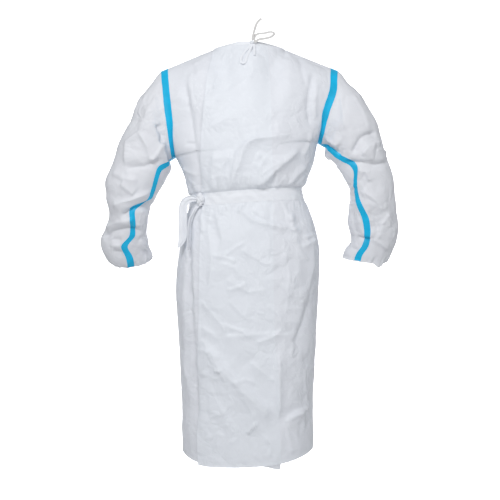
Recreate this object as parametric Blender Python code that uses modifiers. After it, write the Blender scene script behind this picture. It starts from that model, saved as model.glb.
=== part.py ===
"""A wrap-over surgical gown, filled out as if worn, with nothing inside it.

Metres, +Z up. The photographed side is the gown's back and faces -Y, so -X is the wearer's left.
The origin is at the base of the neck, where the wearer's neck and shoulders hold the gown up.

Every panel is an open sheet on its outer face, and its wall grows inwards from there.
"""

import math

import bmesh
import bpy
import numpy as np

COLLECTION = "surgical_gown"

# Cloth, seams and layers
WALL = 0.0014
SEAM_GAP = 0.0003
LAYER_STEP = 0.0022
SECTION_POWER = 2.5
SAMPLES = 240

# Tape and belt
TAPE_WIDTH = 0.020
TAPE_WALL = 0.0010
TAPE_CLEARANCE = 0.0008
TAPE_START = 0.10
TAPE_END = 0.02
BELT_WALL = 0.0014
BELT_CLEARANCE = 0.0005

# Neck and shoulders
NECK_HALF = 0.105
NECK_POINT_Z = -0.005
NAPE_DEPTH = 0.074
NAPE_RISE = -0.001
THROAT_DEPTH = 0.085
THROAT_DROP = 0.060
BINDING_WIDTH = 0.012
BINDING_WALL = 0.0014
BINDING_LEAN = 0.25
BINDING_SIDE_SHORT = 0.5
SHOULDER_FLAT = 0.005
SHOULDER_TIP = {"left": (-0.2505, -0.066), "right": (0.2520, -0.0645)}
ARMPIT = {"left": (-0.2190, -0.330), "right": (0.2040, -0.286)}
ARMHOLE_HALF_DEPTH = 0.070
ARMPIT_WEB_DROP = -0.6

# Sections of the body from the hem up to the armpits: the height and half width at each side, the depths
# of the back and front, and how many rows of facets lead up to the next section.
BODY_COLUMNS = ("left_z", "left", "right_z", "right", "back", "front", "steps")
BODY_SECTIONS = [
    (-1.203, 0.1980, -1.185, 0.1940, 0.150, 0.150, 4),
    (-1.050, 0.2015, -1.050, 0.1920, 0.150, 0.150, 4),
    (-0.880, 0.2100, -0.880, 0.2000, 0.149, 0.150, 4),
    (-0.720, 0.2185, -0.720, 0.2090, 0.146, 0.149, 3),
    (-0.620, 0.2110, -0.610, 0.2105, 0.140, 0.144, 3),
    (-0.540, 0.1950, -0.525, 0.1940, 0.130, 0.133, 2),
    (-0.480, 0.1800, -0.457, 0.1660, 0.120, 0.121, 1),
    (-0.462, 0.1775, -0.439, 0.1600, 0.118, 0.119, 1),
    (-0.445, 0.1770, -0.421, 0.1590, 0.118, 0.119, 1),
    (-0.415, 0.1870, -0.390, 0.1740, 0.129, 0.124, 1),
    (-0.380, 0.1960, -0.350, 0.1920, 0.132, 0.126, 1),
    (-0.330, 0.2190, -0.286, 0.2040, 0.131, 0.125, 1),
]
BELT_ROW_SECTIONS = (6, 7, 8)
# The hem hangs lower in the middle of the back and front than at the side seams.
HEM_DIP = 0.032
HEM_DIP_REACH = 0.145
UPPER_ROWS = 12

# Free edges of the wrap across the back, and the line that meets the neck point, by height.
OVER_EDGE = {"z": (-1.225, -0.870, -0.600, -0.450, -0.350, -0.230, -0.110, -0.010),
             "x": (-0.147, -0.145, -0.141, -0.136, -0.142, -0.136, -0.124, -0.105)}
UNDER_EDGE = {"z": (-1.225, -1.000, -0.850, -0.450, -0.150, -0.010),
              "x": (0.092, 0.084, 0.073, 0.068, 0.063, 0.055)}
NECK_LINE = {"z": (-1.225, -0.450, -0.200, -0.010), "x": (0.140, 0.118, 0.118, 0.105)}
UNDER_CORNER_DROP = 0.015
OVER_CORNER_DROP = 0.006

# How many facets lie between the marked lines of each panel.
BACK_COLUMNS = {"seam_left": 1, "side_left": 5, "lap": 10, "plain": 3, "side_right": 5, "seam_right": 1}
FRONT_COLUMNS = {"seam_left": 1, "side_left": 4, "middle": 8, "side_right": 4, "seam_right": 1}

# The largest folds of the body, each along a line on the back or the front: ends, half width, and how far
# it stands out (in, where it is negative).
BACK_FOLDS = [
    {"x0": -0.176, "z0": -0.500, "x1": -0.162, "z1": -1.080, "width": 0.016, "out": -0.014},
    {"x0": -0.166, "z0": -0.560, "x1": -0.150, "z1": -1.180, "width": 0.012, "out": 0.006},
    {"x0": 0.186, "z0": -0.690, "x1": 0.131, "z1": -0.905, "width": 0.016, "out": -0.010},
    {"x0": 0.088, "z0": -0.905, "x1": 0.084, "z1": -1.105, "width": 0.014, "out": 0.007},
    {"x0": 0.172, "z0": -0.930, "x1": 0.174, "z1": -1.060, "width": 0.014, "out": -0.008},
    {"x0": -0.135, "z0": -0.890, "x1": 0.075, "z1": -1.105, "width": 0.022, "out": 0.006},
    {"x0": 0.128, "z0": -0.260, "x1": -0.005, "z1": -0.295, "width": 0.022, "out": 0.007},
    {"x0": -0.005, "z0": -0.295, "x1": -0.054, "z1": -0.430, "width": 0.020, "out": 0.008},
    {"x0": 0.148, "z0": -0.310, "x1": 0.010, "z1": -0.435, "width": 0.018, "out": 0.008},
    {"x0": 0.190, "z0": -0.095, "x1": 0.180, "z1": -0.235, "width": 0.018, "out": -0.010},
    {"x0": -0.190, "z0": -0.100, "x1": -0.152, "z1": -0.420, "width": 0.020, "out": -0.006},
    {"x0": 0.006, "z0": -0.500, "x1": 0.110, "z1": -0.550, "width": 0.018, "out": 0.006},
]
FRONT_FOLDS = [
    {"x0": -0.150, "z0": -0.500, "x1": -0.170, "z1": -1.080, "width": 0.020, "out": -0.012},
    {"x0": 0.150, "z0": -0.500, "x1": 0.165, "z1": -1.020, "width": 0.020, "out": -0.012},
    {"x0": -0.060, "z0": -0.520, "x1": -0.085, "z1": -1.150, "width": 0.024, "out": 0.009},
    {"x0": 0.055, "z0": -0.560, "x1": 0.080, "z1": -1.180, "width": 0.024, "out": 0.009},
    {"x0": -0.130, "z0": -0.240, "x1": -0.020, "z1": -0.400, "width": 0.022, "out": 0.008},
    {"x0": 0.120, "z0": -0.230, "x1": 0.030, "z1": -0.410, "width": 0.022, "out": 0.008},
]

# Sections of the sleeves from the armhole to the cuff: the outer and inner points of the outline, the
# depth's middle and half size, the tilt forwards, and the angle round the sleeve at which its seam lies.
# The sections are about this far apart.
RING_SPACING = 0.045
SLEEVE_COLUMNS = ("out_x", "out_z", "in_x", "in_z", "mid_y", "half_depth", "tilt", "seam")
SLEEVE_LEFT = [
    (-0.2505, -0.0660, -0.2190, -0.3300, 0.000, 0.070, 0, 180),
    (-0.3240, -0.1500, -0.2320, -0.3650, -0.002, 0.078, 0, 150),
    (-0.3585, -0.2200, -0.2480, -0.3950, -0.004, 0.078, 0, 136),
    (-0.3900, -0.2820, -0.2610, -0.4180, -0.006, 0.074, 0, 142),
    (-0.4100, -0.3450, -0.2740, -0.4400, -0.006, 0.070, 2, 148),
    (-0.4290, -0.4050, -0.2850, -0.4650, -0.004, 0.066, 6, 143),
    (-0.4275, -0.4500, -0.2940, -0.4930, 0.000, 0.063, 12, 106),
    (-0.4220, -0.4930, -0.3010, -0.5220, 0.010, 0.060, 18, 108),
    (-0.4330, -0.5320, -0.3080, -0.5500, 0.024, 0.059, 22, 113),
    (-0.4500, -0.5670, -0.3060, -0.5760, 0.038, 0.060, 25, 95),
    (-0.4510, -0.5980, -0.3060, -0.6000, 0.052, 0.058, 27, 104),
    (-0.4360, -0.6280, -0.2970, -0.6200, 0.064, 0.053, 28, 98),
    (-0.4200, -0.6420, -0.2960, -0.6300, 0.072, 0.050, 29, 90),
]
SLEEVE_RIGHT = [
    (0.2520, -0.0645, 0.2040, -0.2860, 0.000, 0.070, 0, 180),
    (0.3260, -0.1350, 0.2320, -0.3250, -0.002, 0.078, 0, 150),
    (0.3560, -0.1750, 0.2490, -0.3480, -0.004, 0.078, 0, 143),
    (0.3810, -0.2250, 0.2690, -0.3660, -0.006, 0.074, 0, 134),
    (0.3960, -0.2800, 0.2850, -0.3950, -0.006, 0.070, 2, 122),
    (0.4090, -0.3270, 0.2980, -0.4220, -0.004, 0.067, 4, 138),
    (0.4270, -0.3750, 0.3020, -0.4520, 0.000, 0.065, 6, 139),
    (0.4370, -0.4320, 0.2990, -0.4860, 0.004, 0.064, 8, 124),
    (0.4460, -0.4900, 0.2950, -0.5180, 0.010, 0.062, 9, 110),
    (0.4500, -0.5380, 0.3000, -0.5580, 0.016, 0.060, 10, 110),
    (0.4400, -0.5830, 0.3030, -0.5840, 0.022, 0.057, 11, 104),
    (0.4280, -0.6160, 0.2880, -0.6080, 0.028, 0.053, 12, 108),
    (0.4150, -0.6390, 0.2830, -0.6280, 0.032, 0.050, 12, 108),
]
CUFF_GATHERS = 9
CUFF_GATHER_DEPTH = 0.0022

# The largest folds of the sleeves, by section number and angle round the sleeve in degrees (0 is the outer
# line, 90 the back, 180 the inner line): ends, half width, and how far out.
SLEEVE_FOLDS = {
    "left": [
        {"s0": 2.2, "a0": 95, "s1": 3.4, "a1": 60, "width": 0.022, "out": 0.008},
        {"s0": 1.6, "a0": 150, "s1": 2.4, "a1": 105, "width": 0.018, "out": -0.009},
        {"s0": 3.8, "a0": 60, "s1": 4.2, "a1": 130, "width": 0.018, "out": 0.007},
        {"s0": 7.0, "a0": 45, "s1": 5.9, "a1": 150, "width": 0.016, "out": 0.010},
        {"s0": 7.3, "a0": 60, "s1": 6.7, "a1": 150, "width": 0.014, "out": -0.008},
        {"s0": 9.0, "a0": 20, "s1": 8.6, "a1": 110, "width": 0.014, "out": 0.007},
        {"s0": 2.5, "a0": 250, "s1": 4.0, "a1": 290, "width": 0.020, "out": 0.007},
        {"s0": 6.0, "a0": 210, "s1": 6.4, "a1": 300, "width": 0.016, "out": -0.009},
    ],
    "right": [
        {"s0": 3.6, "a0": 30, "s1": 4.6, "a1": 85, "width": 0.018, "out": 0.009},
        {"s0": 4.6, "a0": 150, "s1": 5.4, "a1": 60, "width": 0.015, "out": -0.009},
        {"s0": 2.2, "a0": 165, "s1": 3.8, "a1": 130, "width": 0.016, "out": 0.010},
        {"s0": 6.3, "a0": 110, "s1": 7.0, "a1": 70, "width": 0.018, "out": 0.007},
        {"s0": 8.0, "a0": 80, "s1": 9.6, "a1": 55, "width": 0.018, "out": -0.007},
        {"s0": 2.5, "a0": 250, "s1": 4.0, "a1": 290, "width": 0.020, "out": 0.007},
        {"s0": 5.0, "a0": 210, "s1": 5.6, "a1": 300, "width": 0.016, "out": -0.009},
    ],
}

# The belt's knot and its two ends, whose points run from the knot down, each with the strip's width and
# the direction across it.
KNOT_X = -0.139
KNOT_SIZE = (0.030, 0.014, 0.040)
KNOT_GAP = 0.0008
TAIL_WALL = 0.0014
TAIL_COLUMNS = ("x", "y", "z", "width", "across")
TAIL_OUTER = [
    (-0.1540, -0.0869, -0.4580, 0.014, (0.00, 0.00, 1.00)),
    (-0.1660, -0.0845, -0.4560, 0.018, (-0.20, 0.00, 1.00)),
    (-0.1790, -0.0830, -0.4590, 0.022, (-0.60, 0.00, 0.80)),
    (-0.1890, -0.0830, -0.4700, 0.025, (-0.90, 0.00, 0.45)),
    (-0.1930, -0.0840, -0.4900, 0.026, (-1.00, 0.00, 0.10)),
    (-0.1935, -0.0860, -0.5200, 0.026, (-1.00, 0.00, 0.00)),
    (-0.1935, -0.0890, -0.5550, 0.026, (-1.00, 0.00, 0.00)),
    (-0.1945, -0.0910, -0.5730, 0.024, (-1.00, 0.00, 0.00)),
    (-0.1990, -0.0920, -0.5880, 0.016, (-1.00, 0.00, 0.15)),
    (-0.2070, -0.0920, -0.5995, 0.006, (-0.90, 0.00, 0.40)),
]
TAIL_INNER = [
    (-0.1480, -0.0928, -0.4778, 0.012, (1.00, 0.00, 0.00)),
    (-0.1580, -0.0955, -0.4930, 0.017, (0.80, 0.45, 0.50)),
    (-0.1680, -0.0985, -0.5130, 0.020, (0.55, 0.80, 0.30)),
    (-0.1735, -0.1015, -0.5400, 0.021, (0.35, 0.94, 0.10)),
    (-0.1750, -0.1055, -0.5750, 0.021, (0.30, 0.95, 0.00)),
    (-0.1750, -0.1100, -0.6060, 0.021, (0.30, 0.95, 0.00)),
]

# The neck ties: the knot on the binding at the nape, and the routes of what leaves it.
NECK_KNOT_AT = (0.0090, -0.0765, 0.0016)
NECK_KNOT_SIZE = (0.012, 0.009, 0.013)
TIE_DIAMETER = 0.0032
TIE_ROUTES = {
    "neck_tie_end": [
        (0.0092, -0.0766, 0.0085), (0.0112, -0.0768, 0.0173), (0.0144, -0.0768, 0.0319),
        (0.0194, -0.0765, 0.0486), (0.0249, -0.0758, 0.0603), (0.0366, -0.0750, 0.0719),
    ],
    "neck_tie_loop": [
        (0.0156, -0.0771, 0.0020), (0.0230, -0.0795, 0.0062), (0.0305, -0.0812, 0.0098),
        (0.0468, -0.0820, 0.0118), (0.0632, -0.0805, 0.0164), (0.0728, -0.0780, 0.0240),
        (0.0700, -0.0755, 0.0312), (0.0597, -0.0740, 0.0325), (0.0468, -0.0730, 0.0297),
        (0.0320, -0.0725, 0.0285), (0.0215, -0.0728, 0.0250), (0.0160, -0.0740, 0.0170),
        (0.0133, -0.0758, 0.0072),
    ],
    "neck_tie_hanging": [
        (0.0054, -0.0783, -0.0037), (0.0002, -0.0818, -0.0128), (-0.0087, -0.0850, -0.0233),
        (-0.0190, -0.0905, -0.0400), (-0.0233, -0.0960, -0.0540), (-0.0195, -0.0988, -0.0620),
        (-0.0110, -0.0985, -0.0600), (-0.0058, -0.0935, -0.0449), (0.0000, -0.0875, -0.0290),
        (0.0060, -0.0835, -0.0150), (0.0097, -0.0796, -0.0050),
    ],
    "neck_tie_tail": [
        (0.0143, -0.0781, -0.0034), (0.0156, -0.0818, -0.0140), (0.0164, -0.0862, -0.0260),
        (0.0160, -0.0920, -0.0390),
    ],
}
TIE_POINTS = 28

CLOTH = {"colour": (0.86, 0.87, 0.90, 1.0), "roughness": 0.50, "metallic": 0.0}
BELT_CLOTH = {"colour": (0.84, 0.86, 0.89, 1.0), "roughness": 0.50, "metallic": 0.0}
TAPE_FILM = {"colour": (0.02, 0.44, 0.72, 1.0), "roughness": 0.38, "metallic": 0.0}


def smooth(t):
    """A soft step from 0 to 1."""
    t = np.clip(t, 0.0, 1.0)
    return t * t * (3.0 - 2.0 * t)


def through_rows(rows, positions):
    """Values on a smooth curve through equally spaced rows, at fractional row positions."""
    rows = np.asarray(rows, dtype=float)
    last = len(rows) - 1
    result = []
    for position in positions:
        index = min(int(position), last - 1)
        t = position - index
        before = rows[max(index - 1, 0)]
        here = rows[index]
        there = rows[index + 1]
        after = rows[min(index + 2, last)]
        slope_here = (there - before) / 2.0
        slope_there = (after - here) / 2.0
        result.append((2 * t**3 - 3 * t**2 + 1) * here + (t**3 - 2 * t**2 + t) * slope_here
                      + (3 * t**2 - 2 * t**3) * there + (t**3 - t**2) * slope_there)
    return np.array(result)


def grid_normals(points, outward):
    """Unit normals of a grid of points. Where a normal looks against outward, all are turned round."""
    along = np.gradient(points, axis=1)
    up = np.gradient(points, axis=0)
    normals = np.cross(along, up)
    normals /= np.maximum(np.linalg.norm(normals, axis=2, keepdims=True), 1e-9)
    if np.sum(normals * outward) < 0:
        normals = -normals
    return normals


def fold_heights(x, z, folds):
    """How far the folds lift points of a panel, from the distance to each fold's line."""
    height = np.zeros_like(x)
    for fold in folds:
        start = np.array((fold["x0"], fold["z0"]))
        run = np.array((fold["x1"], fold["z1"])) - start
        length = np.hypot(*run)
        t = ((x - start[0]) * run[0] + (z - start[1]) * run[1]) / length**2
        nearest = np.clip(t, 0.0, 1.0)
        away = np.hypot(x - start[0] - nearest * run[0], z - start[1] - nearest * run[1])
        fade = 0.45 + 0.55 * np.sin(np.pi * nearest)
        height += fold["out"] * fade * np.exp(-(away / fold["width"])**2)
    return height


def body_rows():
    """The section at each row from the hem to the armpits, with the rows along the belt's edges marked."""
    positions = []
    belt_rows = []
    for index, section in enumerate(BODY_SECTIONS[:-1]):
        if index in BELT_ROW_SECTIONS:
            belt_rows.append(len(positions))
        steps = dict(zip(BODY_COLUMNS, section))["steps"]
        for step in range(steps):
            positions.append(index + step / steps)
    positions.append(len(BODY_SECTIONS) - 1)
    rows = [dict(zip(BODY_COLUMNS, values)) for values in through_rows(BODY_SECTIONS, positions)]
    return rows, belt_rows


def upper_levels():
    """Heights of the rows above the armpits, from 0 there to 1 at the shoulder seam and the neck."""
    even = np.linspace(0.0, 1.0, UPPER_ROWS + 1)
    round_spaced = (1.0 - np.cos(np.pi * even)) / 2.0
    return 0.5 * even + 0.5 * round_spaced


def neck_edge(x, side):
    """Depth and height of the panel's top edge: the neck's curve in the middle, then the shoulder seam."""
    inside = np.clip(1.0 - (x / NECK_HALF)**2, 0.0, 1.0)
    slopes = [(SHOULDER_TIP[name][1] - NECK_POINT_Z) / (abs(SHOULDER_TIP[name][0]) - NECK_HALF)
              for name in ("left", "right")]
    slope = np.where(x < 0, slopes[0], slopes[1])
    shoulder = NECK_POINT_Z + np.maximum(np.abs(x) - NECK_HALF, 0.0) * slope
    if side == "back":
        return NAPE_DEPTH * np.sqrt(inside), shoulder + NAPE_RISE * inside
    return THROAT_DEPTH * np.sqrt(inside), shoulder - THROAT_DROP * np.sqrt(inside)


def section_curve(row, side):
    """Points along one closed section's back or front half, from the left side to the right."""
    angle = np.linspace(-math.pi / 2, math.pi / 2, SAMPLES)
    across = np.sign(np.sin(angle)) * np.abs(np.sin(angle))**(2.0 / SECTION_POWER)
    depth = np.abs(np.cos(angle))**(2.0 / SECTION_POWER) * row[side]
    x = across * np.where(across < 0, row["left"], row["right"])
    share = (x + row["left"]) / (row["left"] + row["right"])
    z = row["left_z"] + (row["right_z"] - row["left_z"]) * share
    hem_height = (BODY_SECTIONS[0][0] + BODY_SECTIONS[0][2]) / 2.0
    above_hem = (row["left_z"] + row["right_z"]) / 2.0 - hem_height
    dip = HEM_DIP * max(1.0 - above_hem / HEM_DIP_REACH, 0.0)
    return x, depth, z - dip * (1.0 - np.abs(across)**3)


def upper_curve(level, armpit_row, side):
    """Points along one row above the armpits, from the left armhole to the right one."""
    angle = np.linspace(-math.pi / 2, math.pi / 2, SAMPLES)
    across = np.sign(np.sin(angle)) * np.abs(np.sin(angle))**(2.0 / SECTION_POWER)
    closed = np.abs(np.cos(angle))**(2.0 / SECTION_POWER)
    opened = 1.0 - np.abs(across)**2.4
    blend = float(smooth(level / 0.4))
    shape = (1.0 - blend) * closed + blend * opened

    left = -(ARMPIT["left"][0] + (SHOULDER_TIP["left"][0] - ARMPIT["left"][0]) * level)
    right = ARMPIT["right"][0] + (SHOULDER_TIP["right"][0] - ARMPIT["right"][0]) * level
    x = across * np.where(across < 0, left, right)
    top_x = across * np.where(across < 0, -SHOULDER_TIP["left"][0], SHOULDER_TIP["right"][0])
    top_depth, top_z = neck_edge(top_x, side)
    # Below the neck's edge its corners at the sides are rounded off.
    top_depth *= np.clip(1.0 - (top_x / NECK_HALF)**2, 0.0, 1.0)**min(4.0 * (1.0 - level), 1.2)

    edge_depth = ARMHOLE_HALF_DEPTH * 2.0 * math.sqrt(max(level * (1.0 - level), 0.0))
    rounded = (1.0 - level**3)**0.6
    upright = 1.0 - level**2.2
    by_neck = smooth(1.6 - 1.3 * np.abs(top_x) / NECK_HALF)
    hold = (1.0 - by_neck) * rounded + by_neck * upright
    middle = armpit_row[side] * hold
    depth = edge_depth + np.maximum(middle - edge_depth, 0.0) * shape
    depth = depth * (1.0 - by_neck * level) + (middle * shape) * by_neck * level + top_depth * (1.0 - hold)

    _, _, base_z = section_curve(armpit_row, side)
    z = base_z + (top_z - base_z) * level
    return x, depth, z


def line_at(line, z):
    """Where a named line crosses a height."""
    return float(np.interp(z, line["z"], line["x"]))


def spread(curve, marks, counts):
    """Columns along a curve: so many even steps between each pair of marks, measured along it."""
    x, depth, z = curve
    steps = np.sqrt(np.diff(x)**2 + np.diff(depth)**2 + np.diff(z)**2)
    length = np.concatenate(([0.0], np.cumsum(steps)))
    total = length[-1]
    stations = [0.0, TAPE_WIDTH / 2]
    stations += [float(np.interp(mark, x, length)) for mark in marks]
    stations += [total - TAPE_WIDTH / 2, total]
    places = []
    for start, end, count in zip(stations[:-1], stations[1:], counts):
        places += [start + (end - start) * step / count for step in range(count)]
    places.append(total)
    return [np.interp(places, length, values) for values in (x, depth, z)]


def body_grid(side):
    """The sheet of the body's back or front as a grid of points, before its folds."""
    rows, belt_rows = body_rows()
    curves = [section_curve(row, side) for row in rows]
    curves += [upper_curve(level, rows[-1], side) for level in upper_levels()[1:-1]]
    top_x = np.linspace(SHOULDER_TIP["left"][0], SHOULDER_TIP["right"][0], SAMPLES)
    curves.append((top_x, *neck_edge(top_x, side)))
    facing = -1.0 if side == "back" else 1.0
    grid = []
    for number, curve in enumerate(curves):
        middle_z = float(np.interp(0.0, curve[0], curve[2]))
        top = number == len(curves) - 1
        neck_x = NECK_HALF if top else line_at(NECK_LINE, middle_z)
        if side == "back":
            over_x = -NECK_HALF if top else line_at(OVER_EDGE, middle_z)
            marks = (over_x, line_at(UNDER_EDGE, middle_z), neck_x)
            counts = list(BACK_COLUMNS.values())
        else:
            marks = (-neck_x, neck_x)
            counts = list(FRONT_COLUMNS.values())
        x, depth, z = spread(curve, marks, counts)
        grid.append(np.stack((x, facing * depth, z), axis=1))
    grid = np.array(grid)

    # The side seams and the shoulder seams lie on narrow flat strips, so their walls meet squarely.
    below = len(rows)
    grid[:below, 1, 0] = grid[:below, 0, 0]
    grid[:below, -2, 0] = grid[:below, -1, 0]
    crest = grid[-1].copy()
    strip = crest.copy()
    shoulder = np.abs(crest[:, 0]) >= NECK_HALF - 1e-6
    strip[:, 1] += facing * SHOULDER_FLAT
    strip[~shoulder] = crest[~shoulder] + (grid[-2] - crest)[~shoulder] * 0.25
    grid = np.concatenate((grid[:-1], strip[None], crest[None]))
    grid[:, :, 1] += facing * SEAM_GAP / 2
    return grid, belt_rows


def folded(grid, side, belt_rows):
    """The grid with its folds, which fade out at the seams and under the belt."""
    folds = BACK_FOLDS if side == "back" else FRONT_FOLDS
    facing = np.array((0.0, -1.0 if side == "back" else 1.0, 0.0))
    normals = grid_normals(grid, facing)
    height = fold_heights(grid[:, :, 0], grid[:, :, 2], folds)
    rows, columns = height.shape
    edge = np.minimum(np.arange(columns), np.arange(columns)[::-1])
    height *= smooth((edge - 1) / 2.0)[None, :]
    top = np.arange(rows)[::-1]
    height *= smooth((top - 1) / 2.0)[:, None]
    number = np.arange(rows)
    from_belt = np.maximum(belt_rows[0] - number, number - belt_rows[-1])
    height *= smooth(from_belt / 2.0)[:, None]
    return grid + normals * height[:, :, None], normals


def new_object(name, points, faces, look, wall=None, even=False):
    """A named object from points and faces. A wall makes it a shell that grows inwards from the sheet."""
    mesh = bpy.data.meshes.new(name)
    mesh.from_pydata([tuple(point) for point in points], [], faces)
    mesh.update()
    part = bpy.data.objects.new(name, mesh)
    bpy.data.collections[COLLECTION].objects.link(part)
    finish(part, look)
    if wall:
        shell = part.modifiers.new("wall", "SOLIDIFY")
        shell.thickness = wall
        shell.offset = -1.0
        shell.use_even_offset = even
    return part


def finish(part, look):
    """Give an object its own material, and shade it smooth."""
    material = bpy.data.materials.new(part.name)
    material.use_nodes = True
    shader = material.node_tree.nodes["Principled BSDF"]
    shader.inputs["Base Color"].default_value = look["colour"]
    shader.inputs["Roughness"].default_value = look["roughness"]
    shader.inputs["Metallic"].default_value = look["metallic"]
    part.data.materials.append(material)
    if part.type == "MESH":
        part.data.shade_smooth()


def grid_faces(rows, columns, around=False):
    """Triangles of a grid whose outer face looks towards -Y when rows go up and columns go to +X."""
    faces = []
    for row in range(rows - 1):
        for column in range(columns if around else columns - 1):
            following = (column + 1) % columns
            a = row * columns + column
            b = row * columns + following
            c = (row + 1) * columns + following
            d = (row + 1) * columns + column
            faces += [(a, b, c), (a, c, d)]
    return faces


def facing_out(points, faces, centres):
    """The faces, turned round if they look towards the centres of their points."""
    points = np.asarray(points, dtype=float)
    corners = points[np.array(faces)]
    normals = np.cross(corners[:, 1] - corners[:, 0], corners[:, 2] - corners[:, 0])
    away = (points - centres)[np.array(faces)].mean(axis=1)
    if np.sum(normals * away) < 0:
        return [tuple(reversed(face)) for face in faces]
    return faces


def add_panel(name, grid, look):
    """One cloth panel of the body from a grid of points on its outer face."""
    rows, columns = grid.shape[:2]
    points = grid.reshape(-1, 3)
    faces = facing_out(points, grid_faces(rows, columns), points * np.array((0.0, 0.0, 1.0)))
    return new_object(name, points, faces, look, WALL)


def add_body(back, back_normals, front):
    """The front panel and the two back panels, of which the right one laps over the left one."""
    add_panel("front_panel", front, CLOTH)

    side = BACK_COLUMNS["seam_left"] + BACK_COLUMNS["side_left"]
    under_last = side + BACK_COLUMNS["lap"]
    under = back[:, :under_last + 1].copy()
    sink = smooth((np.arange(under_last + 1) - (side - 1)) / 1.0) * LAYER_STEP
    under -= back_normals[:, :under_last + 1] * sink[None, :, None]
    droop = smooth((np.arange(under_last + 1) - (under_last - 3)) / 3.0)
    low = smooth(1.0 - np.arange(back.shape[0]) / 3.0)
    under[:, :, 2] -= UNDER_CORNER_DROP * low[:, None] * droop[None, :]
    add_panel("back_panel_under", under, CLOTH)

    over = back[:, side:].copy()
    droop = smooth(1.0 - np.arange(over.shape[1]) / 4.0)
    over[:, :, 2] -= OVER_CORNER_DROP * low[:, None] * droop[None, :]
    add_panel("back_panel_over", over, CLOTH)
    return side


def sleeve_rings(side, edges, inner):
    """The sleeve's sheet as rings from the armhole to the cuff, one point for each point of the armhole."""
    table = SLEEVE_LEFT if side == "left" else SLEEVE_RIGHT
    outwards = -1.0 if side == "left" else 1.0
    count = len(edges)
    base_angles = armhole_angles(side, edges)
    rings = []
    first = edges + np.array((outwards * SEAM_GAP, 0.0, 0.0))
    rings.append(first)

    spread_angles = np.linspace(0.0, 360.0, count, endpoint=False)
    centres = []
    for number, values in enumerate(table):
        row = dict(zip(SLEEVE_COLUMNS, values))
        centre = np.array(((row["out_x"] + row["in_x"]) / 2, row["mid_y"], (row["out_z"] + row["in_z"]) / 2))
        centres.append(centre)
        if number == 0:
            continue
        half = np.array(((row["out_x"] - row["in_x"]) / 2, 0.0, (row["out_z"] - row["in_z"]) / 2))
        tilt = math.radians(row["tilt"])
        back = row["half_depth"] * np.array((0.0, -math.cos(tilt), -math.sin(tilt)))
        size = math.sqrt(np.linalg.norm(half) * row["half_depth"])
        angles = seam_angles(count, row["seam"], math.degrees(TAPE_WIDTH / 2 / size))
        radians = np.radians(angles)
        ring = centre + np.outer(np.cos(radians), half) + np.outer(np.sin(radians), back)
        lift = sleeve_lift(side, number, angles, size)
        if number >= len(table) - 2:
            lift = lift + CUFF_GATHER_DEPTH * np.sin(np.radians(CUFF_GATHERS * spread_angles))
        away = ring - centre
        away /= np.linalg.norm(away, axis=1, keepdims=True)
        rings.append(ring + away * lift[:, None])

    # The first strip of the sleeve carries on from the body at the shoulder, and runs outwards at the armpit.
    onward = edges - inner
    onward /= np.linalg.norm(onward, axis=1, keepdims=True)
    down = np.array((outwards, 0.0, ARMPIT_WEB_DROP))
    down = down / np.linalg.norm(down)
    from_top = np.minimum(base_angles, 360.0 - base_angles)
    turn = smooth((from_top - 40.0) / 80.0)[:, None]
    direction = onward * (1.0 - turn) + down * turn
    direction /= np.linalg.norm(direction, axis=1, keepdims=True)
    strip = first + direction * TAPE_WIDTH / 2
    bottom = count // 2
    for beside in (bottom - 1, bottom + 1):
        reach = strip[beside] - strip[bottom]
        strip[beside] = strip[bottom] + reach * TAPE_WIDTH / 2 / np.linalg.norm(reach)
    tape_start = strip + (rings[1] - strip) * TAPE_START
    return np.array([first, strip, tape_start] + rings[1:])


def armhole_angles(side, edges):
    """Angles round the armhole, from the shoulder over the back to the armpit and up the front."""
    bottom = len(edges) // 2
    middle = (edges[0] + edges[bottom]) / 2
    half = (edges[0] - edges[bottom]) / 2
    half[1] = 0.0
    angles = []
    for point in edges - middle:
        along = np.dot(point, half) / np.dot(half, half)
        angles.append(math.degrees(math.atan2(-point[1] / ARMHOLE_HALF_DEPTH, along)) % 360.0)
    angles[0] = 0.0
    return np.array(angles)


def seam_angles(count, seam, beside):
    """Even angles round a section, with the two points beside the seam's one as wide apart as the tape."""
    seam_index = count // 2
    rest = count - 3
    start = seam + beside
    free = 360.0 - 2.0 * beside
    angles = np.zeros(count)
    angles[seam_index] = seam
    angles[seam_index - 1] = seam - beside
    for step in range(rest + 1):
        index = (seam_index + 1 + step) % count
        value = start + free * step / (rest + 1)
        angles[index] = value - (360.0 if index < seam_index else 0.0)
    return angles


def sleeve_lift(side, number, angles, size):
    """How far the sleeve's folds lift one ring's points."""
    lift = np.zeros(len(angles))
    for fold in SLEEVE_FOLDS[side]:
        run_s = (fold["s1"] - fold["s0"]) * RING_SPACING
        run_a = math.radians(fold["a1"] - fold["a0"]) * size
        length = math.hypot(run_s, run_a)
        ds = (number - fold["s0"]) * RING_SPACING
        turned = (np.asarray(angles) - fold["a0"] + 180.0) % 360.0 - 180.0
        da = np.radians(turned) * size
        t = np.clip((ds * run_s + da * run_a) / length**2, 0.0, 1.0)
        away = np.hypot(ds - t * run_s, da - t * run_a)
        lift += fold["out"] * np.exp(-(away / fold["width"])**2)
    return lift


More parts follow.
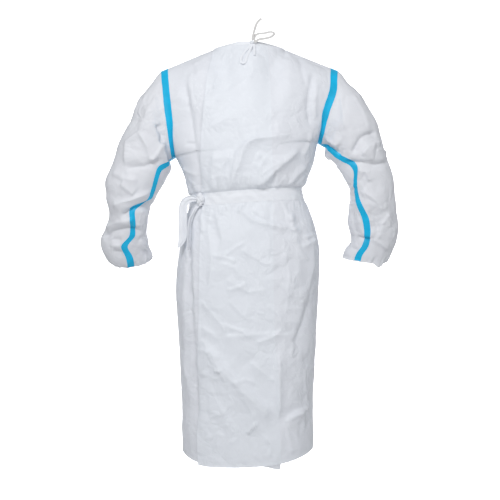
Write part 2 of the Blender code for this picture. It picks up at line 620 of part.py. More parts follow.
def armhole_lines(side, back, front):
    """The body's armhole edge and the column beside it, ring-wise from the shoulder round by the back."""
    rows, _ = body_rows()
    first = len(rows) - 1
    level_rows = list(range(first, back.shape[0]))
    edge_column, inner_column = (0, 1) if side == "left" else (-1, -2)
    down = level_rows[::-1]
    up = level_rows[1:-1]
    edge = [back[row, edge_column] for row in down] + [front[row, edge_column] for row in up]
    inner = [back[row, inner_column] for row in down] + [front[row, inner_column] for row in up]
    bottom = len(level_rows) - 1
    for joint, row in ((0, back.shape[0] - 1), (bottom, first)):
        edge[joint] = (back[row, edge_column] + front[row, edge_column]) / 2
    inner[0] = (back[-1, inner_column] + front[-1, inner_column]) / 2
    below = edge[bottom] - direction_down(side, back, first) * TAPE_WIDTH / 2
    front_inner = front[first, inner_column]
    return np.array(edge), np.array(inner), below, front_inner


def direction_down(side, back, first):
    """Unit vector up the side seam just below the armpit."""
    column = 0 if side == "left" else -1
    rise = back[first, column] - back[first - 1, column]
    rise[1] = 0.0
    return rise / np.linalg.norm(rise)


def lifted(points, faces, height):
    """Points moved out along their vertex normals."""
    points = np.asarray(points, dtype=float)
    normals = np.zeros_like(points)
    for face in faces:
        corners = points[list(face)]
        normal = np.cross(corners[1] - corners[0], corners[2] - corners[0])
        normal /= max(np.linalg.norm(normal), 1e-12)
        for place in range(3):
            before = corners[place - 1] - corners[place]
            after = corners[(place + 1) % 3] - corners[place]
            cosine = np.dot(before, after) / max(np.linalg.norm(before) * np.linalg.norm(after), 1e-12)
            normals[face[place]] += normal * math.acos(min(1.0, max(-1.0, cosine)))
    normals /= np.maximum(np.linalg.norm(normals, axis=1, keepdims=True), 1e-9)
    return points + normals * height


def add_armhole_tape(side, edge, inner, below, front_inner, rings):
    """The tape over the armhole seam, made from the points of the body and of the sleeve beside it."""
    count = len(edge)
    seam = (edge + rings[0]) / 2
    points = list(inner) + list(seam) + list(rings[1]) + [below, front_inner]
    bottom = count // 2
    below_index = 3 * count
    front_index = below_index + 1
    faces = []
    for index in range(count):
        following = (index + 1) % count
        near = front_index if index == bottom else index
        if (side == "left") == (index < bottom):
            faces += [(near, following, count + following), (near, count + following, count + index)]
        else:
            faces += [(near, following, count + index), (following, count + following, count + index)]
        faces += [(count + index, count + following, 2 * count + following),
                  (count + index, 2 * count + following, 2 * count + index)]
    faces += [(bottom, below_index, count + bottom), (below_index, front_index, count + bottom)]
    faces = facing_out(points, faces, np.mean(seam, axis=0))
    points = lifted(points, faces, TAPE_CLEARANCE + TAPE_WALL)
    new_object("armhole_tape_" + side, points, faces, TAPE_FILM, TAPE_WALL)


def add_sleeve_tape(side, rings):
    """The tape down the sleeve's seam, made from the sleeve's points beside the seam."""
    middle = rings.shape[1] // 2
    strip = rings[2:, middle - 1:middle + 2].copy()
    strip[-1] += (strip[-2] - strip[-1]) * TAPE_END
    centres = np.repeat(rings[2:].mean(axis=1), 3, axis=0)
    faces = facing_out(strip.reshape(-1, 3), grid_faces(strip.shape[0], 3), centres)
    points = lifted(strip.reshape(-1, 3), faces, TAPE_CLEARANCE + TAPE_WALL)
    new_object("sleeve_tape_" + side, points, faces, TAPE_FILM, TAPE_WALL)


def add_sleeve(side, back, front):
    """One sleeve with the tapes over its seams."""
    edge, inner, below, front_inner = armhole_lines(side, back, front)
    rings = sleeve_rings(side, edge, inner)
    rows, columns = rings.shape[:2]
    centres = np.repeat(rings.mean(axis=1), columns, axis=0)
    faces = facing_out(rings.reshape(-1, 3), grid_faces(rows, columns, around=True), centres)
    new_object("sleeve_" + side, rings.reshape(-1, 3), faces, CLOTH, WALL)
    add_armhole_tape(side, edge, inner, below, front_inner, rings)
    add_sleeve_tape(side, rings)


def add_binding(back, front, normals, over_first):
    """The folded strip inside the neck edge: under the lap, round the front and out over the lap."""
    lap_end = over_first + BACK_COLUMNS["lap"]
    neck_right = lap_end + BACK_COLUMNS["plain"]
    front_left = FRONT_COLUMNS["seam_left"] + FRONT_COLUMNS["side_left"]
    front_right = front_left + FRONT_COLUMNS["middle"]
    step = normals[-1] * LAYER_STEP
    under_edge = (back[-1] - step)[over_first:lap_end + 1][::-1]
    front_edge = front[-1, front_left:front_right + 1]
    over_edge = back[-1, over_first:neck_right + 1][::-1]
    path = np.concatenate((under_edge[:-1], front_edge[:-1], over_edge))
    towards_axis = -path * np.array((1.0, 1.0, 0.0))
    towards_axis /= np.linalg.norm(towards_axis, axis=1, keepdims=True)
    beside = np.abs(towards_axis[:, :1])**3
    rise = towards_axis * BINDING_LEAN + np.array((0.0, 0.0, 1.0))
    rise /= np.linalg.norm(rise, axis=1, keepdims=True)
    low = path + towards_axis * SEAM_GAP + rise * SEAM_GAP
    height = BINDING_WIDTH * (1.0 - BINDING_SIDE_SHORT * beside)
    points = np.concatenate((low, low + rise * height))
    faces = facing_out(points, grid_faces(2, len(path)), points * np.array((0.0, 0.0, 1.0)))
    new_object("neck_binding", points, faces, CLOTH, BINDING_WALL)


def add_belt(back, front, belt_rows):
    """The belt round the waist, made from the body's points there, moved out."""
    loops = []
    for row in belt_rows:
        loops.append(np.concatenate((back[row], front[row][::-1][1:-1])))
    loops = np.array(loops)
    rows, columns = loops.shape[:2]
    flat = loops.reshape(-1, 3)
    faces = facing_out(flat, grid_faces(rows, columns, around=True), flat * np.array((0.0, 0.0, 1.0)))
    points = lifted(flat, faces, BELT_CLEARANCE + BELT_WALL)
    new_object("belt", points, faces, BELT_CLOTH, BELT_WALL)
    return points.reshape(rows, columns, 3)


def add_ball(name, centre, size, look, turn=0.0):
    """A small rounded knot."""
    mesh = bpy.data.meshes.new(name)
    shape = bmesh.new()
    bmesh.ops.create_uvsphere(shape, u_segments=12, v_segments=8, radius=0.5)
    for vertex in shape.verts:
        vertex.co.x *= size[0]
        vertex.co.y *= size[1]
        vertex.co.z *= size[2]
    shape.to_mesh(mesh)
    shape.free()
    part = bpy.data.objects.new(name, mesh)
    bpy.data.collections[COLLECTION].objects.link(part)
    part.location = centre
    part.rotation_euler = (0.0, 0.0, turn)
    finish(part, look)
    return part


def add_belt_knot(belt):
    """The knot, seated on the belt's outer face at the wearer's left."""
    middle = belt[1, :sum(BACK_COLUMNS.values())]
    place = int(np.argmin(np.abs(middle[:, 0] - KNOT_X)))
    tangent = middle[place + 1] - middle[place - 1]
    tangent[2] = 0.0
    tangent /= np.linalg.norm(tangent)
    out = np.array((tangent[1], -tangent[0], 0.0))
    if out[1] > 0:
        out = -out
    centre = middle[place] + out * (KNOT_SIZE[1] / 2 + KNOT_GAP)
    add_ball("belt_knot", centre, KNOT_SIZE, BELT_CLOTH, math.atan2(tangent[1], tangent[0]))


def add_tail(name, table):
    """One flat end of the belt, through lines across the strip."""
    left = []
    right = []
    for values in table:
        row = dict(zip(TAIL_COLUMNS, values))
        across = np.array(row["across"])
        half = row["width"] / 2 * across / np.linalg.norm(across)
        centre = np.array((row["x"], row["y"], row["z"]))
        left.append(centre - half)
        right.append(centre + half)
    points = np.stack((left[::-1], right[::-1]), axis=1)
    faces = grid_faces(len(table), 2)
    new_object(name, points.reshape(-1, 3), faces, BELT_CLOTH, TAIL_WALL)


def add_tie(name, route):
    """One length of the neck tie, as a round cord along its route."""
    places = np.linspace(0.0, len(route) - 1.0, TIE_POINTS)
    points = through_rows(route, places)
    curve = bpy.data.curves.new(name, "CURVE")
    curve.dimensions = "3D"
    curve.bevel_depth = TIE_DIAMETER / 2
    curve.bevel_resolution = 2
    curve.use_fill_caps = True
    spline = curve.splines.new("POLY")
    spline.points.add(len(points) - 1)
    for target, point in zip(spline.points, points):
        target.co = (*point, 1.0)
    part = bpy.data.objects.new(name, curve)
    bpy.data.collections[COLLECTION].objects.link(part)
    finish(part, CLOTH)


def main():
    for item in list(bpy.data.objects):
        bpy.data.objects.remove(item)
    collection = bpy.data.collections.new(COLLECTION)
    bpy.context.scene.collection.children.link(collection)

    plain_back, belt_rows = body_grid("back")
    plain_front, _ = body_grid("front")
    back, back_normals = folded(plain_back, "back", belt_rows)
    front, _ = folded(plain_front, "front", belt_rows)

    over_first = add_body(back, back_normals, front)
    add_binding(back, front, back_normals, over_first)
    for side in ("left", "right"):
        add_sleeve(side, back, front)
    belt = add_belt(back, front, belt_rows)
    add_belt_knot(belt)
    add_tail("belt_tail_outer", TAIL_OUTER)
    add_tail("belt_tail_inner", TAIL_INNER)
    add_ball("neck_knot", NECK_KNOT_AT, NECK_KNOT_SIZE, CLOTH)
    for name, route in TIE_ROUTES.items():
        add_tie(name, route)


main()
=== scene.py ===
import math
import bpy
import numpy as np
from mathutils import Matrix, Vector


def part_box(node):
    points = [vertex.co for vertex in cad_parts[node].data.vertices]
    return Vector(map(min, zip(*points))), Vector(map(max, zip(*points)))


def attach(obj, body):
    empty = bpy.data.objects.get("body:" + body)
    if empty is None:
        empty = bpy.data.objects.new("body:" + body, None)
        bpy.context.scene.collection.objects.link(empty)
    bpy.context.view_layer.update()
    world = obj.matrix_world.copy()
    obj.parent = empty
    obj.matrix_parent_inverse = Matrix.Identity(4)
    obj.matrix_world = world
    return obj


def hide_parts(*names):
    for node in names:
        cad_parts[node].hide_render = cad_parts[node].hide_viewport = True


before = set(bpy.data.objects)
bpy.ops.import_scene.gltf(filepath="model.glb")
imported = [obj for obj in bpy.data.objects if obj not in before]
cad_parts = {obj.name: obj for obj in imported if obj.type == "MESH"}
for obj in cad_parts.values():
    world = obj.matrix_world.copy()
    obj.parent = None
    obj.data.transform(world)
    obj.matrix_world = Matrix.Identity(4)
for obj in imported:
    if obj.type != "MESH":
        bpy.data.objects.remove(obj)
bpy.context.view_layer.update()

# Metres. The gown's back faces -Y, the wearer's left is -X, and the neck's base is the origin.
# The surfaces below are the CAD solids' outer faces, worked out again from the same sizes on a finer grid.

mm = 0.001
clothStep = 3.8 * mm        # size of the facets of the cloth
clothThickness = 0.5 * mm   # the real cloth is about 0.3 mm thick
seamGap = 0.3 * mm
seamBand = 10 * mm          # the cloth on each side of a seam that a tape covers
layerStep = 2.2 * mm        # how far the under panel lies below the over one

camera = {"x": 0.003, "y": -3.0, "z": -0.606, "lens": 72.0, "sensor": 36.0}

# The neck's curve, the shoulders and the armholes
neck = {"half": 0.105, "pointZ": -0.005, "napeDepth": 0.074, "napeRise": -0.001,
        "throatDepth": 0.085, "throatDrop": 0.060}
shoulderTip = {"left": (-0.2505, -0.066), "right": (0.2520, -0.0645)}
armpit = {"left": (-0.2190, -0.330), "right": (0.2040, -0.286)}
armholeHalfDepth = 0.070
webDrop = -0.6
sectionPower = 2.5

# Sections of the body from the hem to the armpits: height and half width at each side, depths.
bodyColumns = ("leftZ", "left", "rightZ", "right", "back", "front")
bodySections = [
    (-1.203, 0.1980, -1.185, 0.1940, 0.150, 0.150),
    (-1.050, 0.2015, -1.050, 0.1920, 0.150, 0.150),
    (-0.880, 0.2100, -0.880, 0.2000, 0.149, 0.150),
    (-0.720, 0.2185, -0.720, 0.2090, 0.146, 0.149),
    (-0.620, 0.2110, -0.610, 0.2105, 0.140, 0.144),
    (-0.540, 0.1950, -0.525, 0.1940, 0.130, 0.133),
    (-0.480, 0.1800, -0.457, 0.1660, 0.120, 0.121),
    (-0.462, 0.1775, -0.439, 0.1600, 0.118, 0.119),
    (-0.445, 0.1770, -0.421, 0.1590, 0.118, 0.119),
    (-0.415, 0.1870, -0.390, 0.1740, 0.129, 0.124),
    (-0.380, 0.1960, -0.350, 0.1920, 0.132, 0.126),
    (-0.330, 0.2190, -0.286, 0.2040, 0.131, 0.125),
]
beltSections = (6, 8)
hemDip = {"depth": 0.032, "reach": 0.145}   # the hem hangs lower in the middle than at the seams

# Lines on the body, each as its x at some heights.
overEdge = {"z": (-1.225, -0.870, -0.600, -0.450, -0.350, -0.230, -0.110, -0.010),
            "x": (-0.147, -0.145, -0.141, -0.136, -0.142, -0.136, -0.124, -0.105)}
underEdge = {"z": (-1.225, -1.000, -0.850, -0.450, -0.150, -0.010),
             "x": (0.092, 0.084, 0.073, 0.068, 0.063, 0.055)}
neckLine = {"z": (-1.225, -0.450, -0.200, -0.010), "x": (0.140, 0.118, 0.118, 0.105)}
cornerDroop = {"under": 0.015, "underColumns": 16.0, "over": 0.006, "overColumns": 20.0, "rows": 28.0}
lapEdge = {"lift": 0.9 * mm, "fall": 0.7}   # how far the lap's edge stands off, and its fall by the column

# How many facets lie between the marked lines.
backCounts = {"seamLeft": 3, "sideLeft": 22, "lap": 64, "plain": 14, "sideRight": 24, "seamRight": 3}
frontCounts = {"seamLeft": 3, "sideLeft": 28, "middle": 64, "sideRight": 28, "seamRight": 3}
upperRows = 84

# Sections of the sleeves below the armholes: outer and inner points of the outline, middle and half depth,
# all in mm, then the tilt and the seam's angle in degrees.
sleeveSections = {
    "left": [
        (-324, -150, -232, -365, -2, 78, 0, 150),
        (-358.5, -220, -248, -395, -4, 78, 0, 136),
        (-390, -282, -261, -418, -6, 74, 0, 142),
        (-410, -345, -274, -440, -6, 70, 2, 148),
        (-429, -405, -285, -465, -4, 66, 6, 143),
        (-427.5, -450, -294, -493, 0, 63, 12, 106),
        (-422, -493, -301, -522, 10, 60, 18, 108),
        (-433, -532, -308, -550, 24, 59, 22, 113),
        (-450, -567, -306, -576, 38, 60, 25, 95),
        (-451, -598, -306, -600, 52, 58, 27, 104),
        (-436, -628, -297, -620, 64, 53, 28, 98),
        (-420, -642, -296, -630, 72, 50, 29, 90),
    ],
    "right": [
        (326, -135, 232, -325, -2, 78, 0, 150),
        (356, -175, 249, -348, -4, 78, 0, 143),
        (381, -225, 269, -366, -6, 74, 0, 134),
        (396, -280, 285, -395, -6, 70, 2, 122),
        (409, -327, 298, -422, -4, 67, 4, 138),
        (427, -375, 302, -452, 0, 65, 6, 139),
        (437, -432, 299, -486, 4, 64, 8, 124),
        (446, -490, 295, -518, 10, 62, 9, 110),
        (450, -538, 300, -558, 16, 60, 10, 110),
        (440, -583, 303, -584, 22, 57, 11, 113),
        (428, -616, 288, -608, 28, 53, 12, 115),
        (415, -639, 283, -628, 32, 50, 12, 114),
    ],
}

# All in mm. A crease is a line of points (x, z), how far it stands out (in, where it is negative), and how
# fast it dies away on its left or upper side and on the other. The soft ones are in the CAD too.
backSoft = [
    ([(-166, -560), (-150, -1180)], 5, 12, 12),
    ([(88, -905), (84, -1105)], 5, 12, 12),
    ([(-135, -890), (75, -1105)], 4, 16, 16),
    ([(128, -260), (-5, -295), (-54, -430)], 4, 18, 12),
    ([(148, -310), (10, -435)], 4, 14, 12),
]
backCreases = [
    # Upper back
    ([(124, -272), (52, -285), (17, -288), (-14, -305), (-37, -334), (-49, -402), (-55, -447)], 4.5, 6, 26),
    ([(145, -316), (89, -365), (46, -408), (9, -447)], 5, 24, 9),
    ([(167, -358), (125, -400), (107, -420)], 4.5, 8, 5),
    ([(138, -410), (128, -436)], 3, 5, 4),
    ([(78, -376), (64, -424)], -2.5, 4, 5),
    ([(104, -390), (81, -435)], -2.5, 4, 5),
    ([(186, -85), (172, -154), (170, -190), (179, -248)], -5, 5, 16),
    ([(149, -35), (160, -111), (169, -134)], -2.5, 7, 5),
    ([(196, -100), (190, -170), (194, -230)], 3, 5, 5),
    ([(-157, -50), (-152, -80), (-149, -92)], 3, 4, 7),
    ([(-176, -90), (-172, -135), (-160, -200)], 3, 4, 9),
    ([(-189, -111), (-168, -217), (-156, -299), (-146, -362), (-137, -440)], -4.5, 14, 5),
    ([(-183, -295), (-156, -299)], -2.5, 3, 4),
    ([(-195, -364), (-173, -381), (-151, -391)], 3, 6, 4),
    ([(17, -96), (-69, -155), (-110, -176)], 1.8, 7, 16),
    ([(-96, -75), (-6, -87), (38, -81)], 1.5, 6, 12),
    ([(-49, -319), (-77, -370), (-90, -438)], 2.5, 10, 5),
    ([(-101, -318), (-107, -390), (-95, -447)], 2, 5, 9),
    ([(-110, -345), (-70, -338), (-40, -346)], 1.8, 4, 9),
    ([(-120, -405), (-85, -392), (-55, -398)], 1.8, 4, 8),
    ([(20, -330), (60, -345), (95, -352)], 2, 5, 10),
    ([(30, -395), (60, -372), (100, -350)], 2, 9, 5),
    # Below the belt
    ([(-177, -500), (-171, -650), (-164, -780), (-156, -901), (-149, -1025), (-148, -1125)], -9, 16, 5),
    ([(-138, -750), (-106, -789), (-57, -846)], 2.5, 12, 4),
    ([(-138, -822), (-86, -863)], 2, 9, 4),
    ([(-129, -879), (-68, -940), (-6, -1004), (74, -1079)], 5, 42, 6),
    ([(-138, -862), (-100, -905), (-70, -915)], 2.2, 5, 8),
    ([(-118, -930), (-85, -950), (-66, -982)], 2, 6, 5),
    ([(3, -925), (74, -983)], 2.5, 12, 5),
    ([(-138, -957), (-80, -977)], 2, 5, 9),
    ([(-83, -855), (32, -846), (133, -851)], 3, 5, 22),
    ([(196, -650), (176, -751), (152, -823), (125, -894)], -6, 5, 30),
    ([(132, -872), (122, -900), (126, -915)], 3, 4, 4),
    ([(86, -892), (80, -977), (86, -1077)], 4, 5, 30),
    ([(103, -1098), (124, -1195)], 4, 5, 14),
    ([(100, -1100), (130, -1081), (160, -1074)], 6, 5, 40),
    ([(160, -890), (166, -970), (158, -1060)], -2.5, 6, 12),
    ([(186, -560), (190, -650), (183, -740)], 3, 7, 5),
    ([(-26, -488), (9, -520), (60, -534), (112, -546)], 3.2, 5, 12),
    ([(119, -499), (124, -525), (133, -554)], 3.5, 5, 6),
    ([(153, -600), (175, -586), (202, -570)], 3.5, 4, 9),
    ([(130, -560), (150, -610), (172, -640)], 3, 8, 5),
    ([(38, -497), (60, -577), (54, -640)], 2, 12, 5),
    ([(-98, -496), (-77, -577), (-86, -640)], 2.4, 5, 12),
    ([(-121, -525), (-106, -640), (-117, -726)], 2, 5, 9),
    ([(-140, -500), (-132, -560)], 3, 4, 7),
    ([(-26, -606), (37, -640), (89, -649)], 2, 5, 12),
    ([(-90, -640), (-45, -655), (-20, -690)], 1.8, 5, 10),
    ([(-68, -692), (-3, -726), (54, -720)], 2, 5, 12),
    ([(98, -592), (118, -678), (106, -749)], 2.5, 5, 12),
    ([(-60, -749), (-11, -800), (37, -811)], 1.8, 5, 10),
    ([(50, -760), (85, -790), (110, -840)], 2, 10, 5),
    ([(-103, -1021), (-60, -1091), (-48, -1176)], 2.5, 16, 6),
    ([(3, -1061), (26, -1148), (20, -1210)], 2.5, 6, 18),
    ([(-20, -1020), (10, -1075), (0, -1110)], 2, 6, 8),
    ([(-190, -635), (-190, -840), (-178, -1043)], 3, 5, 9),
    ([(-198, -900), (-180, -985)], 3, 4, 8),
    # Smaller ones
    ([(60, -440), (90, -412), (106, -390)], 3.5, 3, 7),
    ([(120, -434), (138, -410), (162, -382)], 4, 3, 6),
    ([(20, -425), (30, -372), (46, -340)], 2.5, 3, 9),
    ([(160, -330), (172, -300), (178, -272)], 3, 3, 7),
    ([(94, -462), (108, -492), (122, -528)], 4, 3, 9),
    ([(-20, -470), (-32, -498)], 3, 3, 7),
    ([(-78, -475), (-82, -505)], 2.5, 3, 7),
    ([(3, -488), (52, -520), (104, -540), (162, -556)], 3, 3, 9),
    ([(-8, -512), (40, -530), (80, -540)], 2, 3, 8),
    ([(160, -572), (190, -560)], 4, 3, 6),
    ([(-141, -892), (-106, -900)], 4, 3, 7),
    ([(-98, -950), (-77, -952)], 5, 3, 5),
    ([(-6, -1130), (12, -1110), (17, -1098)], 5, 3, 6),
    ([(-78, -818), (-20, -838), (3, -862)], 3, 3, 9),
    ([(18, -872), (66, -855), (95, -832)], 3, 3, 8),
    ([(-69, -622), (-40, -600), (-12, -584)], 2.5, 3, 8),
    ([(-106, -620), (-70, -628), (-35, -640)], 2, 3, 7),
    ([(-63, -722), (-30, -712), (-6, -700)], 2.5, 3, 8),
    ([(109, -1085), (140, -1072), (176, -1064)], 5, 3, 12),
    ([(160, -935), (165, -985), (163, -1030)], 3, 3, 8),
    ([(90, -700), (112, -735), (108, -790)], 2.5, 3, 8),
    ([(-50, -985), (-12, -975), (20, -985)], 2, 3, 7),
    ([(-120, -1060), (-85, -1075), (-60, -1065)], 2.5, 3, 8),
    ([(-128, -1150), (-90, -1130), (-66, -1140)], 2, 3, 7),
    ([(45, -1140), (62, -1165), (58, -1200)], 2.5, 3, 7),
    ([(-30, -205), (-85, -240), (-120, -252)], 1.5, 4, 12),
    ([(60, -200), (85, -240), (80, -275)], 1.5, 3, 9),
    ([(-100, -120), (-128, -180), (-132, -240)], 2, 3, 9),
]
frontCreases = [
    ([(-150, -500), (-160, -780), (-170, -1080)], -11, 15, 12),
    ([(150, -500), (158, -760), (165, -1020)], -11, 12, 15),
    ([(-60, -520), (-75, -830), (-85, -1150)], 8, 18, 12),
    ([(55, -560), (66, -850), (80, -1180)], 8, 12, 18),
    ([(-130, -240), (-70, -320), (-20, -400)], 7, 14, 12),
    ([(120, -230), (70, -320), (30, -410)], 7, 12, 14),
    ([(-165, -330), (-110, -390), (-70, -430)], 4, 9, 7),
    ([(160, -310), (110, -370), (80, -420)], 4, 9, 7),
    ([(-190, -100), (-160, -200), (-168, -280)], -6, 9, 12),
    ([(190, -100), (164, -190), (170, -260)], -6, 12, 9),
    ([(-80, -150), (0, -190), (85, -160)], 3, 12, 12),
    ([(-20, -500), (10, -600), (0, -720)], 4, 10, 9),
    ([(-110, -520), (-100, -640)], 3.5, 9, 9),
    ([(110, -520), (95, -660)], 3.5, 9, 9),
    ([(-140, -880), (-40, -960), (60, -1010)], 4, 10, 12),
    ([(140, -860), (40, -930), (-30, -970)], 3.5, 10, 12),
    ([(-50, -720), (30, -770), (100, -760)], 3, 10, 9),
    ([(-120, -1050), (-100, -1190)], 4, 10, 10),
    ([(10, -1060), (30, -1200)], 4, 12, 10),
    ([(125, -1070), (120, -1190)], 4, 9, 9),
]
sleeveCreases = {
    "left": [
        ([(-275, -232), (-322, -261), (-361, -289), (-362, -334), (-359, -361)], 6, 5, 28),
        ([(-272, -241), (-255, -269), (-258, -296)], -6, 4, 18),
        ([(-359, -364), (-304, -361), (-256, -338)], -5, 5, 16),
        ([(-322, -261), (-297, -309), (-290, -351)], 4, 4, 18),
        ([(-378, -413), (-337, -445)], 4, 4, 18),
        ([(-381, -506), (-329, -477), (-279, -460)], -9, 4, 18),
        ([(-405, -476), (-349, -459), (-292, -435)], 6, 5, 16),
        ([(-443, -567), (-408, -549), (-361, -541), (-317, -549)], -6, 4, 16),
        ([(-434, -541), (-387, -523), (-337, -517)], 5, 5, 16),
        ([(-412, -573), (-381, -576)], -3, 3, 9),
        ([(-415, -591), (-381, -594)], 3, 3, 9),
        ([(-407, -609), (-377, -612)], -3, 3, 9),
        ([(-326, -576), (-317, -606)], 3, 3, 12),
        ([(-268, -150), (-299, -195), (-322, -258)], 4, 6, 28),
        ([(-244, -283), (-266, -319), (-290, -351)], 5, 4, 16),
        ([(-405, -375), (-371, -395), (-324, -402)], 4, 5, 16),
    ],
    "right": [
        ([(374, -258), (345, -267), (327, -276), (313, -299), (302, -325)], -8, 5, 16),
        ([(386, -285), (348, -302), (330, -331)], 6, 5, 18),
        ([(279, -347), (331, -349), (376, -353), (416, -339)], -7, 4, 14),
        ([(212, -284), (239, -308), (273, -330)], -6, 4, 14),
        ([(214, -262), (240, -288), (262, -305)], 8, 5, 12),
        ([(317, -371), (343, -377), (355, -407)], 5, 4, 14),
        ([(330, -432), (370, -459), (399, -494)], 5, 5, 18),
        ([(348, -491), (369, -517), (385, -547)], -4, 4, 16),
        ([(418, -493), (391, -532), (382, -576)], 4, 4, 14),
        ([(255, -359), (275, -372), (282, -404), (294, -419)], 5, 4, 14),
        ([(259, -117), (272, -181), (280, -256)], 4, 6, 28),
        ([(304, -149), (332, -201), (349, -254)], 3, 5, 21),
        ([(306, -428), (307, -502), (319, -570)], -3, 4, 16),
        ([(347, -565), (389, -588), (416, -606)], 4, 4, 14),
        ([(303, -597), (325, -606)], -3, 3, 9),
        ([(318, -566), (345, -574), (372, -570)], -6, 3, 10),
        ([(283, -415), (300, -428), (318, -424)], -2.5, 3, 8),
        ([(372, -313), (407, -315)], 4, 3, 12),
    ],
}


# Shared helpers

def smooth(t):
    t = np.clip(t, 0.0, 1.0)
    return t * t * (3.0 - 2.0 * t)


def throughPoints(points, positions, spacing=None):
    # A smooth curve through points that are spaced as given, at fractional positions.
    points = np.asarray(points, dtype=float)
    last = len(points) - 1
    if spacing is None:
        spacing = np.ones(last)
    shape = (-1,) + (1,) * (points.ndim - 1)
    chord = (points[1:] - points[:-1]) / spacing.reshape(shape)
    slopes = np.empty_like(points)
    slopes[0] = chord[0]
    slopes[-1] = chord[-1]
    before = spacing[:-1].reshape(shape)
    after = spacing[1:].reshape(shape)
    slopes[1:-1] = (chord[:-1] * after + chord[1:] * before) / (before + after)
    result = []
    for position in positions:
        index = min(int(position), last - 1)
        t = position - index
        run = spacing[index]
        result.append((2 * t**3 - 3 * t**2 + 1) * points[index] + (t**3 - 2 * t**2 + t) * slopes[index] * run
                      + (3 * t**2 - 2 * t**3) * points[index + 1] + (t**3 - t**2) * slopes[index + 1] * run)
    return np.array(result)


def unit(vectors):
    return vectors / np.maximum(np.linalg.norm(vectors, axis=-1, keepdims=True), 1e-9)


def gridNormals(points, centres, around=False):
    # Unit normals of a grid of points, all turned to look away from the centres.
    if around:
        along = np.roll(points, -1, axis=1) - np.roll(points, 1, axis=1)
    else:
        along = np.gradient(points, axis=1)
    normals = unit(np.cross(along, np.gradient(points, axis=0)))
    return -normals if np.sum(normals * (points - centres)) < 0 else normals


creaseSizes = {"relief": 1.6, "sharp": 1.0 * mm}  # times as deep as the tables say; how round the line is


def creaseHeights(x, z, creases, ends=0.16):
    # How far the creases lift points: sharp at the line and dying away to both sides.
    height = np.zeros_like(x)
    sharp = creaseSizes["sharp"]
    for line, out, nearSide, farSide in creases:
        line = np.array(line) * mm
        runs = line[1:] - line[:-1]
        lengths = np.hypot(runs[:, 0], runs[:, 1])
        starts = np.concatenate(([0.0], np.cumsum(lengths)))
        best = np.full(x.shape, 1e9)
        signed = np.zeros_like(x)
        place = np.zeros_like(x)
        for start, run, length, travelled in zip(line[:-1], runs, lengths, starts):
            alongX, alongZ = run / length
            acrossX, acrossZ = (-alongZ, alongX) if -alongZ - 0.5 * alongX >= 0 else (alongZ, -alongX)
            dx = x - start[0]
            dz = z - start[1]
            t = np.clip(dx * alongX + dz * alongZ, 0.0, length)
            away = np.hypot(dx - t * alongX, dz - t * alongZ)
            closer = away < best
            best = np.where(closer, away, best)
            signed = np.where(closer, dx * acrossX + dz * acrossZ, signed)
            place = np.where(closer, (travelled + t) / starts[-1], place)
        width = np.where(signed < 0, nearSide, farSide) * mm
        fade = smooth(place / ends + 0.15) * smooth((1.0 - place) / ends + 0.15)
        height += out * mm * fade * np.exp(-(np.sqrt(best**2 + sharp**2) - sharp) / width)
    return height * creaseSizes["relief"]


lattice = {"size": 64, "x": 31.7, "z": 47.3}  # the random values that noise and facets are drawn from


def latticeNoise(x, z, cell, seed):
    # Smooth noise from 0 to 1 with cells of the given size, as (along x, along z).
    size = lattice["size"]
    values = np.random.default_rng(seed).random((size, size))
    u = x / cell[0] + lattice["x"]
    v = z / cell[1] + lattice["z"]
    i = np.floor(u).astype(int)
    j = np.floor(v).astype(int)
    fu = smooth(u - i)
    fv = smooth(v - j)
    lower = values[i % size, j % size] * (1 - fu) + values[(i + 1) % size, j % size] * fu
    upper = values[i % size, (j + 1) % size] * (1 - fu) + values[(i + 1) % size, (j + 1) % size] * fu
    return lower * (1 - fv) + upper * fv


def crumple(x, z, cell, seed):
    # The small sharp wrinkles of film-coated cloth: ridges along the noise's middle lines, in patches.
    wander = 0.35 * cell[0] * (latticeNoise(x, z, cell, seed + 5) - 0.5)
    ridge = 1.0 - np.abs(2.0 * latticeNoise(x + wander, z - wander, cell, seed) - 1.0)
    patches = smooth(1.6 * latticeNoise(x, z, (cell[0] * 2.2, cell[1] * 1.8), seed + 9) - 0.3)
    return (ridge**4 - 0.25) * patches


def facets(x, z, cell, seed, turn):
    # Flat facets with sharp edges between them, as in cloth that was folded small: from -0.5 to 0.5.
    size = lattice["size"]
    values = np.random.default_rng(seed).random((size, size))
    u = x * math.cos(turn) + z * math.sin(turn)
    v = z * math.cos(turn) - x * math.sin(turn)
    wander = cell[0] * 0.9
    wide = (cell[0] * 1.3, cell[1] * 1.3)
    u = u / cell[0] + lattice["x"] + wander / cell[0] * latticeNoise(x, z, wide, seed + 1)
    v = v / cell[1] + lattice["z"] + wander / cell[1] * latticeNoise(x, z, wide, seed + 2)
    i = np.floor(u).astype(int)
    j = np.floor(v).astype(int)
    fu = u - i
    fv = v - j
    corner = values[i % size, j % size]
    beside = values[(i + 1) % size, j % size]
    above = values[i % size, (j + 1) % size]
    opposite = values[(i + 1) % size, (j + 1) % size]
    lower = corner + (beside - corner) * fu + (above - corner) * fv
    upper = opposite + (above - opposite) * (1 - fu) + (beside - opposite) * (1 - fv)
    return np.where(fu + fv < 1, lower, upper) - 0.5


def wrinkleHeights(x, z, wrinkles, seed):
    height = np.zeros_like(x)
    for out, cell, step in wrinkles["crumple"]:
        height += out * mm * crumple(x, z, cell, seed + step)
    for out, cell, step, turn in wrinkles["facets"]:
        height += out * mm * facets(x, z, cell, seed + step, turn)
    return height


def toLinear(hexColour):
    channels = [int(hexColour[place:place + 2], 16) / 255 for place in (1, 3, 5)]
    linear = [c / 12.92 if c <= 0.04045 else ((c + 0.055) / 1.055)**2.4 for c in channels]
    return (*linear, 1.0)


